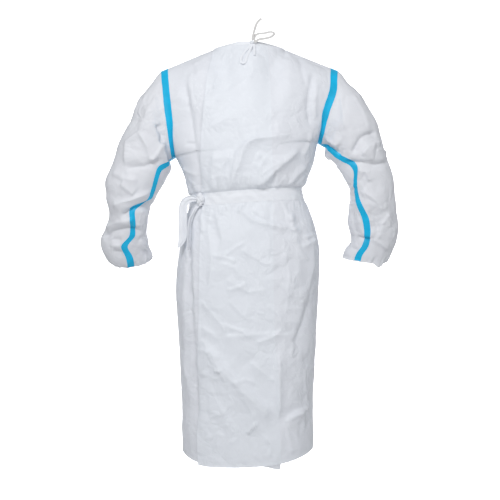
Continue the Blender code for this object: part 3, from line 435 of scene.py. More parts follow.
def addNode(tree, kind, settings=None, links=None):
    # A node with its settings, and with its inputs linked from other nodes' outputs.
    node = tree.nodes.new(kind)
    for name, value in (settings or {}).items():
        if isinstance(name, int) or name in node.inputs:
            node.inputs[name].default_value = value
        else:
            setattr(node, name, value)
    for name, output in (links or {}).items():
        tree.links.new(output, node.inputs[name])
    return node


def addMesh(name, points, faces, material, thickness=None, offset=-1.0):
    mesh = bpy.data.meshes.new(name)
    mesh.from_pydata(np.asarray(points).reshape(-1, 3).tolist(), [], faces)
    mesh.update()
    mesh.shade_smooth()
    mesh.materials.append(material)
    thing = bpy.data.objects.new(name, mesh)
    bpy.context.scene.collection.objects.link(thing)
    if thickness:
        # The cut edges stay sharp.
        edgeOfLoop = np.empty(len(mesh.loops), dtype=int)
        mesh.loops.foreach_get("edge_index", edgeOfLoop)
        mesh.edges.foreach_set("use_edge_sharp", np.bincount(edgeOfLoop, minlength=len(mesh.edges)) == 1)
        shell = thing.modifiers.new("thickness", "SOLIDIFY")
        shell.thickness = thickness
        shell.offset = offset
    return thing


def standIn(thing, node):
    # The mesh takes the place of the CAD node.
    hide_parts(node)
    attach(thing, "root")


onAxis = np.array((0.0, 0.0, 1.0))  # times a point, this gives the point beside it on the body's axis


def gridFaces(rows, columns, around=False):
    faces = []
    for row in range(rows - 1):
        for column in range(columns if around else columns - 1):
            following = (column + 1) % columns
            low = row * columns
            faces.append((low + column, low + following, low + columns + following, low + columns + column))
    return faces


def facingOut(points, faces, centres):
    flat = np.asarray(points).reshape(-1, 3)
    corners = flat[np.array(faces)]
    normals = np.cross(corners[:, 1] - corners[:, 0], corners[:, 2] - corners[:, 0])
    away = corners.mean(axis=1) - np.broadcast_to(centres, flat.shape)[np.array(faces)].mean(axis=1)
    if np.sum(normals * away) < 0:
        return [tuple(reversed(face)) for face in faces]
    return faces


# Camera

lens = bpy.data.cameras.new("camera")
lens.lens = camera["lens"]
lens.sensor_width = camera["sensor"]
lens.dof.use_dof = False
eye = bpy.data.objects.new("camera", lens)
eye.location = (camera["x"], camera["y"], camera["z"])
eye.rotation_euler = (math.radians(90), 0.0, 0.0)
bpy.context.scene.collection.objects.link(eye)
bpy.context.scene.camera = eye
bpy.context.scene.view_settings.view_transform = "Standard"


# Materials

mixA, mixB, mixColour = 6, 7, 2  # the Mix node's colour sockets, which share their names with others

# Sizes of the patterns in mm. The web's clouds are 18 mm wide, the facets 71 and 26, the finest wrinkles 33
# with details down to 4, and the bond dots 1.6 mm apart. The facets' lines wander over 111 mm, and there are
# more facets in some places than in others, 154 mm apart.
clothPattern = {"clouds": 18.18, "facets": ((71.43, 1.0), (26.32, 1.1)), "wander": 111.1, "places": 153.8,
                "wrinkles": 33.33, "dots": 1.6}
filmPattern = {"clouds": 41.67, "grain": 4.545}


def scaleFor(size):
    # A texture's scale for a pattern of that size in mm.
    return 1.0 / (size * mm)


def gownCloth(name, hexColour, tilt):
    # Coated nonwoven: a spunbonded web under a thin film. The film gives broad soft highlights, the web
    # a faint cloudiness and dots where it's bonded. Cloth that was packed flat keeps small flat facets
    # with sharp edges, tilted up to the angle given, which catch the light one by one.
    material = bpy.data.materials.new(name)
    material.use_nodes = True
    tree = material.node_tree
    shader = tree.nodes["Principled BSDF"]
    place = addNode(tree, "ShaderNodeTexCoord").outputs["Object"]
    cloud = addNode(tree, "ShaderNodeTexNoise", {"Scale": scaleFor(clothPattern["clouds"]), "Detail": 3.0},
                    {"Vector": place})
    tint = addNode(tree, "ShaderNodeMapRange", {"To Min": 0.965, "To Max": 1.0},
                   {"Value": cloud.outputs["Fac"]})
    colour = addNode(tree, "ShaderNodeMix", {"data_type": "RGBA", "blend_type": "MULTIPLY", "Factor": 1.0,
                                             mixA: toLinear(hexColour)}, {mixB: tint.outputs["Result"]})
    tree.links.new(colour.outputs[mixColour], shader.inputs["Base Color"])

    swirl = addNode(tree, "ShaderNodeTexNoise", {"Scale": scaleFor(clothPattern["wander"]), "Detail": 2.0},
                    {"Vector": place})
    bent = addNode(tree, "ShaderNodeVectorMath", {"operation": "MULTIPLY_ADD", 1: (0.09, 0.09, 0.09)},
                   {0: swirl.outputs["Color"], 2: place})
    crowd = addNode(tree, "ShaderNodeTexNoise", {"Scale": scaleFor(clothPattern["places"]), "Detail": 1.0},
                    {"Vector": place})
    share = addNode(tree, "ShaderNodeMapRange", {"From Min": 0.35, "From Max": 0.65, "To Min": 0.25},
                    {"Value": crowd.outputs["Fac"]})
    normal = None
    for size, part in clothPattern["facets"]:
        facet = addNode(tree, "ShaderNodeTexVoronoi",
                        {"feature": "DISTANCE_TO_EDGE", "Scale": scaleFor(size)},
                        {"Vector": bent.outputs["Vector"]})
        height = addNode(tree, "ShaderNodeMath", {"operation": "MULTIPLY"},
                         {0: facet.outputs["Distance"], 1: share.outputs["Result"]})
        bump = addNode(tree, "ShaderNodeBump", {"Strength": 1.0, "Distance": tilt * part * size * mm},
                       {"Height": height.outputs["Value"]})
        if normal:
            tree.links.new(normal, bump.inputs["Normal"])
        normal = bump.outputs["Normal"]
    wrinkles = addNode(tree, "ShaderNodeTexNoise",
                       {"noise_type": "RIDGED_MULTIFRACTAL", "Scale": scaleFor(clothPattern["wrinkles"]),
                        "Detail": 3.0, "Roughness": 0.45},
                       {"Vector": place})
    soft = addNode(tree, "ShaderNodeBump", {"Strength": 0.5, "Distance": tilt * 9.0 * mm},
                   {"Height": wrinkles.outputs["Fac"], "Normal": normal})
    dots = addNode(tree, "ShaderNodeTexVoronoi", {"Scale": scaleFor(clothPattern["dots"])}, {"Vector": place})
    fine = addNode(tree, "ShaderNodeBump", {"Strength": 0.25, "Distance": 0.08 * mm},
                   {"Height": dots.outputs["Distance"], "Normal": soft.outputs["Normal"]})
    tree.links.new(fine.outputs["Normal"], shader.inputs["Normal"])
    shader.inputs["Roughness"].default_value = 0.55
    shader.inputs["IOR"].default_value = 1.45
    return material


def tapeFilm(name, hexColour):
    # Cyan seam tape, pressed on hot: a smooth film with a fine pressed grain and a satin highlight.
    material = bpy.data.materials.new(name)
    material.use_nodes = True
    tree = material.node_tree
    shader = tree.nodes["Principled BSDF"]
    place = addNode(tree, "ShaderNodeTexCoord").outputs["Object"]
    # The colour is painted up to a fifth darker in random patches about 42 mm across: painted shade for the
    # uneven shading along the tape.
    shadePatches = addNode(tree, "ShaderNodeTexNoise", {"Scale": scaleFor(filmPattern["clouds"]), "Detail": 3.0},
                   {"Vector": place})
    tint = addNode(tree, "ShaderNodeMapRange", {"From Min": 0.3, "From Max": 0.7, "To Min": 0.8},
                   {"Value": shadePatches.outputs["Fac"]})
    colour = addNode(tree, "ShaderNodeMix", {"data_type": "RGBA", "blend_type": "MULTIPLY", "Factor": 1.0,
                                             mixA: toLinear(hexColour)}, {mixB: tint.outputs["Result"]})
    tree.links.new(colour.outputs[mixColour], shader.inputs["Base Color"])
    grain = addNode(tree, "ShaderNodeTexNoise", {"Scale": scaleFor(filmPattern["grain"]), "Detail": 2.0},
                    {"Vector": place})
    pressed = addNode(tree, "ShaderNodeBump", {"Strength": 0.3, "Distance": 0.2 * mm},
                      {"Height": grain.outputs["Fac"]})
    tree.links.new(pressed.outputs["Normal"], shader.inputs["Normal"])
    shader.inputs["Roughness"].default_value = 0.42
    shader.inputs["IOR"].default_value = 1.45
    return material


# Where one layer of this cloth, about 0.3 mm thick, has the dark hollow behind it, its colour is painted
# greyer and bluer than two: painted shade of the hollow showing through. The sleeves' copy is painted a
# little darker still for the shade on them.
cloth = gownCloth("coated nonwoven, one layer", "#e9ebf1", 0.10)
doubleCloth = gownCloth("coated nonwoven, two layers", "#ebeef4", 0.09)
sleeveCloth = gownCloth("coated nonwoven, one layer, on the sleeves", "#e7e8ed", 0.13)
# This grey is painted shade: the narrow tie strips are painted darker than the rest of the cloth for the
# shade on them.
shadedTieCloth = gownCloth("coated nonwoven, narrow folded strip, painted shade", "#d6d4d2", 0.03)
stripCloth = gownCloth("coated nonwoven, folded and welded strip", "#eff1f6", 0.07)
tape = tapeFilm("seam tape, heat-sealed film", "#00c0f2")


# Neck ties

# The routes in mm of the narrow strips that leave the knot at the nape, and how far they are turned towards
# +X and up at each end, in degrees.
tieSizes = {"thickness": 1.0 * mm, "curl": 0.18, "steps": 46}
tieRoutes = {
    "neck_tie_end": {
        "width": 7 * mm, "turn": (40, 20), "cloth": shadedTieCloth, "end": "bare", "lay": "loose",
        "points": [(9.2, -76.6, 8.5), (11.2, -76.8, 17.3), (14.4, -76.8, 31.9), (19.4, -76.5, 48.6),
                   (24.9, -75.8, 60.3), (36.6, -75, 71.9)]},
    "neck_tie_loop": {
        "width": 8 * mm, "turn": (25, 40), "cloth": shadedTieCloth, "end": "object", "lay": "hanging",
        "points": [(15.6, -77.1, 2), (23, -79.5, 6.2), (30.5, -81.2, 9.8), (46.8, -82, 11.8),
                   (63.2, -80.5, 16.4), (72.8, -78, 24), (70, -75.5, 31.2), (59.7, -74, 32.5),
                   (46.8, -73, 29.7), (32, -72.5, 28.5), (21.5, -72.8, 25), (16, -74, 17),
                   (13.3, -75.8, 7.2)]},
    "neck_tie_hanging": {
        "width": 7 * mm, "turn": (20, 20), "cloth": stripCloth, "end": "object", "lay": "hanging",
        "points": [(5.4, -78.3, -3.7), (0.2, -81.8, -12.8), (-8.7, -85, -23.3), (-19, -90.5, -40),
                   (-23.3, -96, -54), (-19.5, -98.8, -62), (-11, -98.5, -60), (-5.8, -93.5, -44.9),
                   (0, -87.5, -29), (6, -83.5, -15), (9.7, -79.6, -5)]},
    "neck_tie_tail": {
        "width": 6.2 * mm, "turn": (10, 30), "cloth": stripCloth, "end": "bare", "lay": "hanging",
        "points": [(14.3, -78.1, -3.4), (15.6, -81.8, -14), (16.4, -86.2, -26), (16, -92, -39)]},
}
tieShares = (-0.5, -0.3, 0.0, 0.3, 0.5)   # points across a strip, as shares of its width

for name, tie in tieRoutes.items():
    places = np.linspace(0, len(tie["points"]) - 1, tieSizes["steps"])
    route = throughPoints(np.array(tie["points"]) * mm, places)
    turn = np.radians(np.linspace(tie["turn"][0], tie["turn"][1], len(route)))
    towards = np.stack((np.sin(turn) * 0.3, -np.cos(turn), np.sin(turn)), axis=1)
    tangents = unit(np.gradient(route, axis=0))
    across = unit(np.cross(tangents, towards))
    out = np.cross(across, tangents)
    # The curl bends the strip's edges towards the back.
    grid = np.array([route + tie["width"] * (across * share - out * tieSizes["curl"] * (2.0 * share)**2)
                     for share in tieShares]).transpose(1, 0, 2)
    strip = addMesh(name + "_strip", grid, gridFaces(len(route), len(tieShares)), tie["cloth"],
                    tieSizes["thickness"], 0.0)
    standIn(strip, name)


# Surfaces of the body

def bodyRows():
    # The sections at even steps, and the rows that the belt lies between.
    heights = [(section[0] + section[2]) / 2 for section in bodySections]
    positions = []
    beltRows = []
    for index in range(len(bodySections) - 1):
        if index in beltSections:
            beltRows.append(len(positions))
        steps = max(2, round((heights[index + 1] - heights[index]) / clothStep))
        positions += [index + step / steps for step in range(steps)]
    positions.append(len(bodySections) - 1)
    table = throughPoints(bodySections, positions)
    return [dict(zip(bodyColumns, values)) for values in table], beltRows


def neckEdge(x, side):
    # Depth and height of the neck's edge and the shoulder line.
    inside = np.clip(1.0 - (x / neck["half"])**2, 0.0, 1.0)
    slopes = [(shoulderTip[name][1] - neck["pointZ"]) / (abs(shoulderTip[name][0]) - neck["half"])
              for name in ("left", "right")]
    slope = np.where(x < 0, slopes[0], slopes[1])
    shoulder = neck["pointZ"] + np.maximum(np.abs(x) - neck["half"], 0.0) * slope
    if side == "back":
        return neck["napeDepth"] * np.sqrt(inside), shoulder + neck["napeRise"] * inside
    return neck["throatDepth"] * np.sqrt(inside), shoulder - neck["throatDrop"] * np.sqrt(inside)


# Half a rounded section from side to side: how far across each of its points lies, and how deep.
sectionAngles = np.linspace(-math.pi / 2, math.pi / 2, 400)
sectionAcross = np.sign(np.sin(sectionAngles)) * np.abs(np.sin(sectionAngles))**(2.0 / sectionPower)
sectionDepth = np.abs(np.cos(sectionAngles))**(2.0 / sectionPower)


def sectionCurve(row, side):
    # A row below the armpits, with the hem's dip in the lowest ones.
    x = sectionAcross * np.where(sectionAcross < 0, row["left"], row["right"])
    share = (x + row["left"]) / (row["left"] + row["right"])
    z = row["leftZ"] + (row["rightZ"] - row["leftZ"]) * share
    aboveHem = (row["leftZ"] + row["rightZ"] - bodySections[0][0] - bodySections[0][2]) / 2
    dip = hemDip["depth"] * max(1.0 - aboveHem / hemDip["reach"], 0.0)
    return x, sectionDepth * row[side], z - dip * (1.0 - np.abs(sectionAcross)**3)


def upperCurve(level, armpitRow, side):
    # Between the armpits and the neck: the section opens out to the armholes as it goes up.
    opened = 1.0 - np.abs(sectionAcross)**2.4
    blend = float(smooth(level / 0.4))
    shape = (1.0 - blend) * sectionDepth + blend * opened
    left = -(armpit["left"][0] + (shoulderTip["left"][0] - armpit["left"][0]) * level)
    right = armpit["right"][0] + (shoulderTip["right"][0] - armpit["right"][0]) * level
    x = sectionAcross * np.where(sectionAcross < 0, left, right)
    topX = sectionAcross * np.where(sectionAcross < 0, -shoulderTip["left"][0], shoulderTip["right"][0])
    topDepth, topZ = neckEdge(topX, side)
    # Below the neck's edge its corners at the sides are rounded off.
    topDepth *= np.clip(1.0 - (topX / neck["half"])**2, 0.0, 1.0)**min(4.0 * (1.0 - level), 1.2)
    edgeDepth = armholeHalfDepth * 2.0 * math.sqrt(max(level * (1.0 - level), 0.0))
    rounded = (1.0 - level**3)**0.6
    upright = 1.0 - level**2.2
    byNeck = smooth(1.6 - 1.3 * np.abs(topX) / neck["half"])
    hold = (1.0 - byNeck) * rounded + byNeck * upright
    middle = armpitRow[side] * hold
    depth = edgeDepth + np.maximum(middle - edgeDepth, 0.0) * shape
    depth = depth * (1.0 - byNeck * level) + (middle * shape) * byNeck * level + topDepth * (1.0 - hold)
    _, _, baseZ = sectionCurve(armpitRow, side)
    return x, depth, baseZ + (topZ - baseZ) * level


def spread(curve, marks, counts):
    # The points of a row: so many between the seam, its band, the marks and the other seam.
    x, depth, z = curve
    steps = np.sqrt(np.diff(x)**2 + np.diff(depth)**2 + np.diff(z)**2)
    length = np.concatenate(([0.0], np.cumsum(steps)))
    stations = [0.0, seamBand] + [float(np.interp(mark, x, length)) for mark in marks]
    stations += [length[-1] - seamBand, length[-1]]
    places = []
    for start, end, count in zip(stations[:-1], stations[1:], counts):
        places += [start + (end - start) * step / count for step in range(count)]
    places.append(length[-1])
    return [np.interp(places, length, values) for values in (x, depth, z)]


def bodyGrid(side):
    rows, beltRows = bodyRows()
    curves = [sectionCurve(row, side) for row in rows]
    even = np.linspace(0.0, 1.0, upperRows + 1)
    levels = 0.5 * even + 0.25 * (1.0 - np.cos(np.pi * even))
    curves += [upperCurve(level, rows[-1], side) for level in levels[1:-1]]
    topX = np.linspace(shoulderTip["left"][0], shoulderTip["right"][0], len(sectionAngles))
    curves.append((topX, *neckEdge(topX, side)))
    facing = -1.0 if side == "back" else 1.0
    grid = []
    for number, curve in enumerate(curves):
        middleZ = float(np.interp(0.0, curve[0], curve[2]))
        top = number == len(curves) - 1
        neckX = neck["half"] if top else float(np.interp(middleZ, neckLine["z"], neckLine["x"]))
        if side == "back":
            overX = -neck["half"] if top else float(np.interp(middleZ, overEdge["z"], overEdge["x"]))
            marks = (overX, float(np.interp(middleZ, underEdge["z"], underEdge["x"])), neckX)
            counts = list(backCounts.values())
        else:
            marks = (-neckX, neckX)
            counts = list(frontCounts.values())
        x, depth, z = spread(curve, marks, counts)
        grid.append(np.stack((x, facing * (depth + seamGap / 2), z), axis=1))
    return np.array(grid), len(rows), beltRows


rightSeamBow = {"x": 0.245, "z": -0.140, "width": 0.060, "height": 0.045, "out": 9 * mm}


def seamWander(grid):
    # The right armhole's seam bows outwards in its upper half.
    moved = grid.copy()
    acrossBow = (grid[..., 0] - rightSeamBow["x"]) / rightSeamBow["width"]
    alongBow = (grid[..., 2] - rightSeamBow["z"]) / rightSeamBow["height"]
    moved[..., 0] += rightSeamBow["out"] * np.exp(-acrossBow**2 - alongBow**2)
    return moved


# Wrinkles: height in mm, cell in metres, number of the pattern, and for facets the turn in radians.
bodyWrinkles = {"crumple": [(2.0, (0.050, 0.070), 0), (1.4, (0.026, 0.034), 40)],
                "facets": [(5.0, (0.060, 0.085), 60, 0.5), (2.4, (0.027, 0.034), 70, -0.6)]}
bodyFolds = {"back": {"soft": backSoft, "creases": backCreases, "ends": 0.16, "seed": 3},
             "front": {"soft": [], "creases": frontCreases, "ends": 0.25, "seed": 23},
             "smoother": 0.35, "waistZ": -0.44, "edgeColumns": 7.0, "topRows": 7.0, "beltRows": 6.0,
             "gathers": 4.6 * mm, "bag": 4.2 * mm, "stitches": 0.8 * mm}


def foldedBody(grid, side, beltRows):
    normals = gridNormals(grid, grid * onAxis)
    x = grid[:, :, 0]
    z = grid[:, :, 2]
    folds = bodyFolds[side]
    seed = folds["seed"]
    height = creaseHeights(x, z, folds["soft"], 0.3) + creaseHeights(x, z, folds["creases"], folds["ends"])
    girth = np.arctan2(x, np.abs(grid[:, :, 1]) + 0.05) * 0.2
    # Above the waist the cloth is pulled smoother.
    loose = 1.0 - bodyFolds["smoother"] * smooth((z - bodyFolds["waistZ"]) / 0.10)
    height += loose * wrinkleHeights(girth, z, bodyWrinkles, seed)
    rows, columns = height.shape
    column = np.arange(columns)
    byEdge = smooth((np.minimum(column, column[::-1]) - 1) / bodyFolds["edgeColumns"])[None, :]
    row = np.arange(rows)
    height *= byEdge * smooth((rows - 2 - row) / bodyFolds["topRows"])[:, None]
    fromBelt = np.maximum(beltRows[0] - row, row - beltRows[1])
    height *= (0.12 + 0.88 * smooth(fromBelt / bodyFolds["beltRows"]))[:, None]
    # The belt gathers the cloth: short uneven pleats that die away above and below it.
    gathers = (latticeNoise(girth, z, (0.011, 0.060), seed + 11)
               + latticeNoise(girth, z, (0.005, 0.05), seed + 12))
    gathered = smooth((fromBelt - 1) / 4.0) * np.exp(-np.maximum(fromBelt - 3, 0) / 7.0)
    height += bodyFolds["gathers"] * gathered[:, None] * (gathers - 1.0) * byEdge
    # Above the belt the cloth bags out a little and hangs over the belt's edge.
    above = row - beltRows[1]
    bagged = smooth(above / 2.5) * np.exp(-np.maximum(above - 2, 0) / 6.0)
    bag = latticeNoise(girth, z * 0.0, (0.045, 1.0), seed + 15) + 0.35
    height += bodyFolds["bag"] * bagged[:, None] * bag * byEdge
    # The stitch line of the hem.
    height -= bodyFolds["stitches"] * np.exp(-((row - 2) / 0.6)**2)[:, None]
    return seamWander(grid + normals * height[:, :, None]), normals


backPlain, armpitRow, beltRows = bodyGrid("back")
frontPlain, _, _ = bodyGrid("front")
armpitRow -= 1
back, backNormals = foldedBody(backPlain, "back", beltRows)
front, _ = foldedBody(frontPlain, "front", beltRows)
print("body grids", back.shape, front.shape)


# Body panels

def addPanel(name, node, grid):
    faces = facingOut(grid, gridFaces(*grid.shape[:2]), grid.reshape(-1, 3) * onAxis)
    panel = addMesh(name, grid, faces, cloth, clothThickness)
    standIn(panel, node)
    return panel


overFirst = backCounts["seamLeft"] + backCounts["sideLeft"]
underLast = overFirst + backCounts["lap"]

# The under panel sinks below the over one just before the over one's edge. Both panels' corners droop.
column = np.arange(underLast + 1)
under = back[:, :underLast + 1].copy()
sink = smooth((column - (overFirst - 5)) / 4.0) * layerStep
under -= backNormals[:, :underLast + 1] * sink[None, :, None]
droop = smooth(1.0 - np.arange(back.shape[0]) / cornerDroop["rows"])[:, None]
byCorner = smooth(1.0 - (underLast - column) / cornerDroop["underColumns"])
under[:, :, 2] -= cornerDroop["under"] * droop * byCorner

over = back[:, overFirst:].copy()
column = np.arange(over.shape[1])
over[:, :, 2] -= cornerDroop["over"] * droop * smooth(1.0 - column / cornerDroop["overColumns"])
# The over panel's edge stands off a little.
lift = lapEdge["lift"] * np.exp(-(column * lapEdge["fall"])**2)
over += backNormals[:, overFirst:] * lift[None, :, None]


frontPanel = addPanel("front_cloth", "front_panel", front)
underPanel = addPanel("under_cloth", "back_panel_under", under)
overPanel = addPanel("over_cloth", "back_panel_over", over)
# The faces with the under panel behind them have the two-layer cloth; the rest keep the one-layer cloth's
# painted shade.
overPanel.data.materials.append(doubleCloth)
column = np.arange(len(overPanel.data.polygons)) % (over.shape[1] - 1)
overPanel.data.polygons.foreach_set("material_index", (column < backCounts["lap"]).astype(int))
print("panels done")


# Sleeves

def armholeAngles(edges):
    # How far round the armhole its points lie, in degrees from the shoulder.
    bottom = len(edges) // 2
    middle = (edges[0] + edges[bottom]) / 2
    half = (edges[0] - edges[bottom]) / 2
    half[1] = 0.0
    along = (edges - middle) @ half / np.dot(half, half)
    angles = np.degrees(np.arctan2(-(edges - middle)[:, 1] / armholeHalfDepth, along)) % 360.0
    angles[0] = 0.0
    return angles


tapeSizes = {"width": 2 * seamBand, "lift": 0.5 * mm, "thickness": 0.25 * mm, "rings": 4}
tapeColumns = 3  # columns of the cloth on each side of its seam under the tape


def seamAngles(count, seam, beside):
    # Even angles round a section, but the columns next to the seam keep the tape's width.
    middle = count // 2
    angles = np.zeros(count)
    for step in range(-tapeColumns, tapeColumns + 1):
        angles[middle + step] = seam + beside * step / tapeColumns
    rest = count - 2 * tapeColumns - 1
    for step in range(rest):
        index = (middle + tapeColumns + 1 + step) % count
        value = seam + beside + (360.0 - 2.0 * beside) * (step + 1) / (rest + 1)
        angles[index] = value - (360.0 if index < middle else 0.0)
    return angles


def armholeLoop(column):
    # A line round an armhole on the body, from the shoulder down the back and up the front.
    loop = np.concatenate((back[:armpitRow - 1:-1, column], front[armpitRow + 1:-1, column]))
    for joint, row in ((0, -1), (back.shape[0] - 1 - armpitRow, armpitRow)):
        loop[joint] = (back[row, column] + front[row, column]) / 2
    return loop


def sleeveGrid(side):
    edge, inner = (armholeLoop(column) for column in ((0, 3) if side == "left" else (-1, -4)))
    outwards = -1.0 if side == "left" else 1.0
    count = len(edge)
    first = edge + np.array((outwards * seamGap, 0.0, 0.0))
    rings = []
    for outX, outZ, inX, inZ, midY, halfDepth, tilt, seam in sleeveSections[side]:
        centre = np.array(((outX + inX) / 2, midY, (outZ + inZ) / 2)) * mm
        half = np.array(((outX - inX) / 2, 0.0, (outZ - inZ) / 2)) * mm
        tilt = math.radians(tilt)
        deep = halfDepth * mm * np.array((0.0, -math.cos(tilt), -math.sin(tilt)))
        size = math.sqrt(np.linalg.norm(half) * halfDepth * mm)
        angles = np.radians(seamAngles(count, seam, math.degrees(seamBand / size)))
        rings.append(centre + np.outer(np.cos(angles), half) + np.outer(np.sin(angles), deep))
    # The sleeve leaves the armhole onwards from the shoulder, and downwards under the arm.
    angles = armholeAngles(edge)
    turn = smooth((np.minimum(angles, 360.0 - angles) - 40.0) / 80.0)[:, None]
    direction = unit(unit(edge - inner) * (1.0 - turn) + unit(np.array((outwards, 0.0, webDrop))) * turn)
    rings = [first, first + direction * seamBand / 2, first + direction * seamBand] + rings
    spacing = np.array([np.linalg.norm(b - a, axis=1).mean() for a, b in zip(rings[:-1], rings[1:])])
    positions = []
    for index, run in enumerate(spacing):
        steps = max(1, round(run / clothStep))
        positions += [index + step / steps for step in range(steps)]
    positions.append(len(rings) - 1)
    return throughPoints(np.array(rings), positions, spacing)


sleeveWrinkles = {"crumple": [(1.2, (0.024, 0.022), 40)],
                  "facets": [(8.0, (0.060, 0.075), 60, 0.5), (2.2, (0.024, 0.027), 70, -0.6)]}
cuff = {"rows": 9, "pleats": 1.6 * mm, "stitches": 0.9 * mm,
        "cornerX": 0.388, "cornerWidth": 0.020, "cornerDrop": 0.014}


def foldedSleeve(side, grid):
    centres = np.repeat(grid.mean(axis=1)[:, None], grid.shape[1], axis=1)
    normals = gridNormals(grid, centres, around=True)
    x = grid[:, :, 0]
    z = grid[:, :, 2]
    facingBack = smooth(0.5 - 1.2 * normals[:, :, 1])
    height = creaseHeights(x, z, sleeveCreases[side]) * facingBack
    # The hidden front of the sleeve has the same kind of creases, a little lower down.
    height += 0.8 * creaseHeights(x + 0.012, z + 0.030, sleeveCreases[side]) * (1.0 - facingBack)
    rows, columns = height.shape
    seed = 61 if side == "left" else 83
    flatX = x + 0.5 * grid[:, :, 1]
    height += wrinkleHeights(flatX, z, sleeveWrinkles, seed)
    row = np.arange(rows)
    height *= smooth((row - 2) / 9.0)[:, None]
    # The cuff is gathered a little by its hem: small pleats that die away up the sleeve.
    turn = np.linspace(0.0, 2 * math.pi, columns, endpoint=False)
    pleats = np.sin(17 * turn + 1.2 * np.sin(3 * turn)) * 0.7 + np.sin(29 * turn + 2.0) * 0.4
    near = smooth((row - (rows - cuff["rows"])) / 6.0)
    height += cuff["pleats"] * near[:, None] * pleats[None, :]
    # The stitch line of the hem, and the corner where the right cuff's hem has come down.
    height -= cuff["stitches"] * np.exp(-((row - (rows - 3)) / 0.6)**2)[:, None]
    folded = grid + normals * height[:, :, None]
    if side == "right":
        corner = np.clip(1.0 - np.abs(folded[-1, :, 0] - cuff["cornerX"]) / cuff["cornerWidth"], 0.0, 1.0)
        corner *= smooth(0.5 - normals[-1, :, 1])
        for ring, part in ((-1, 1.0), (-2, 0.6), (-3, 0.3)):
            folded[ring, :, 2] -= cuff["cornerDrop"] * part * corner
    return folded, normals


sleeves = {}
for side in ("left", "right"):
    grid, normals = foldedSleeve(side, sleeveGrid(side))
    faces = facingOut(grid, gridFaces(*grid.shape[:2], around=True),
                      np.repeat(grid.mean(axis=1), grid.shape[1], axis=0))
    sleeve = addMesh("sleeve_cloth_" + side, grid, faces, sleeveCloth, clothThickness)
    standIn(sleeve, "sleeve_" + side)
    sleeves[side] = {"grid": grid, "normals": normals}
print("sleeves", sleeves["left"]["grid"].shape)


# Seam tape

def wavyEdges(grid, seed):
    # The film was laid by hand: its edges, the first and last rows, wander in and out by a millimetre or so.
    travelled = np.arange(grid.shape[1]) * clothStep
    grid = grid.copy()
    for edge, inner, step in ((0, 1, 0), (-1, -2, 1)):
        wander = (0.65 * latticeNoise(travelled, travelled * 0.0, (0.021, 0.021), seed + step)
                  + 0.35 * latticeNoise(travelled, travelled * 0.0, (0.008, 0.008), seed + 7 + step))
        grid[edge] += (grid[inner] - grid[edge]) * (0.5 * wander)[:, None]
    return grid


def addTape(name, node, grid, outward, around=False):
    # A strip of film made from the cloth's own points, moved out.
    grid = wavyEdges(grid, len(name)) if around else wavyEdges(grid.swapaxes(0, 1), len(name)).swapaxes(0, 1)
    centres = (grid - outward).reshape(-1, 3)
    faces = facingOut(grid, gridFaces(*grid.shape[:2], around=around), centres)
    strip = addMesh(name, grid + outward * tapeSizes["lift"], faces, tape, tapeSizes["thickness"])
    standIn(strip, node)


for side in ("left", "right"):
    grid = sleeves[side]["grid"]
    middle = grid.shape[1] // 2
    covered = (slice(3, -1), slice(middle - tapeColumns, middle + tapeColumns + 1))
    addTape("sleeve_film_" + side, "sleeve_tape_" + side, grid[covered], sleeves[side]["normals"][covered])
    # Round the armhole: columns of the body, the seam, and the sleeve's first rings.
    columns = (3, 2, 1) if side == "left" else (-4, -3, -2)
    loops = np.concatenate(([armholeLoop(column) for column in columns], grid[:tapeSizes["rings"]]))
    centres = np.repeat(loops.mean(axis=1)[:, None], loops.shape[1], axis=1)
    outward = gridNormals(loops, centres, around=True)
    addTape("armhole_film_" + side, "armhole_tape_" + side, loops, outward, around=True)
print("tapes done")


# Belt

# The belt lies on the cloth's own rows under it, a little rounded and with slanting wrinkles.
beltSizes = {"lift": 0.5 * mm, "thickness": 0.6 * mm, "width": 0.035, "round": 1.6 * mm, "wrinkles": 0.8 * mm}
underBelt = slice(beltRows[0], beltRows[1] + 1)
beltLoops = np.concatenate((back[underBelt], front[underBelt, -2:0:-1]), axis=1)
beltOut = gridNormals(beltLoops, beltLoops * onAxis, around=True)
rows, columns = beltLoops.shape[:2]
up = np.linspace(-1.0, 1.0, rows)[:, None]
turn = np.linspace(0.0, 2 * math.pi, columns, endpoint=False)[None, :]
swell = beltSizes["round"] * (1.0 - up**2) * (0.6 + 0.4 * np.sin(5 * turn))
swell += beltSizes["wrinkles"] * np.sin(23 * turn + 3.0 * up) * np.abs(np.sin(2 * turn + 0.4))
beltGrid = beltLoops + beltOut * (beltSizes["lift"] + swell)[:, :, None]
faces = facingOut(beltGrid, gridFaces(rows, columns, around=True), beltGrid.reshape(-1, 3) * onAxis)
belt = addMesh("belt_strip", beltGrid, faces, stripCloth, beltSizes["thickness"])
standIn(belt, "belt")


# Knots

def addKnot(name, node, folds, subdivisions):
    # A knot as a lump of crossing bands: a ball of the CAD's size with grooves between the turns. A groove
    # is given as its slope, its height, how deep it is and how wide, as shares of the ball's radius.
    low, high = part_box(node)
    centre = (np.array(low) + np.array(high)) / 2
    size = (np.array(high) - np.array(low)) / 2
    around, up = subdivisions
    turn, lift = np.meshgrid(np.linspace(0.0, 2 * math.pi, around, endpoint=False),
                             np.linspace(-math.pi / 2, math.pi / 2, up))
    ball = np.stack((np.cos(lift) * np.cos(turn), np.cos(lift) * np.sin(turn), np.sin(lift)), axis=2)
    bulge = np.ones(turn.shape)
    for slope, place, depth, width in folds:
        away = ball[:, :, 2] - (place + slope * ball[:, :, 0])
        bulge -= depth * np.exp(-(away / width)**2)
    grid = centre + ball * size * bulge[:, :, None]
    knot = addMesh(name, grid, facingOut(grid, gridFaces(up, around, around=True), centre), stripCloth)
    standIn(knot, node)


addKnot("neck_knot_turns", "neck_knot",
        [(0.5, 0.2, 0.22, 0.16), (-0.6, -0.3, 0.22, 0.16)], (28, 18))
addKnot("belt_knot_turns", "belt_knot",
        [(0.8, 0.35, 0.20, 0.12), (-0.9, -0.25, 0.24, 0.13), (0.3, -0.65, 0.15, 0.10)], (40, 26))


# Ends of the belt

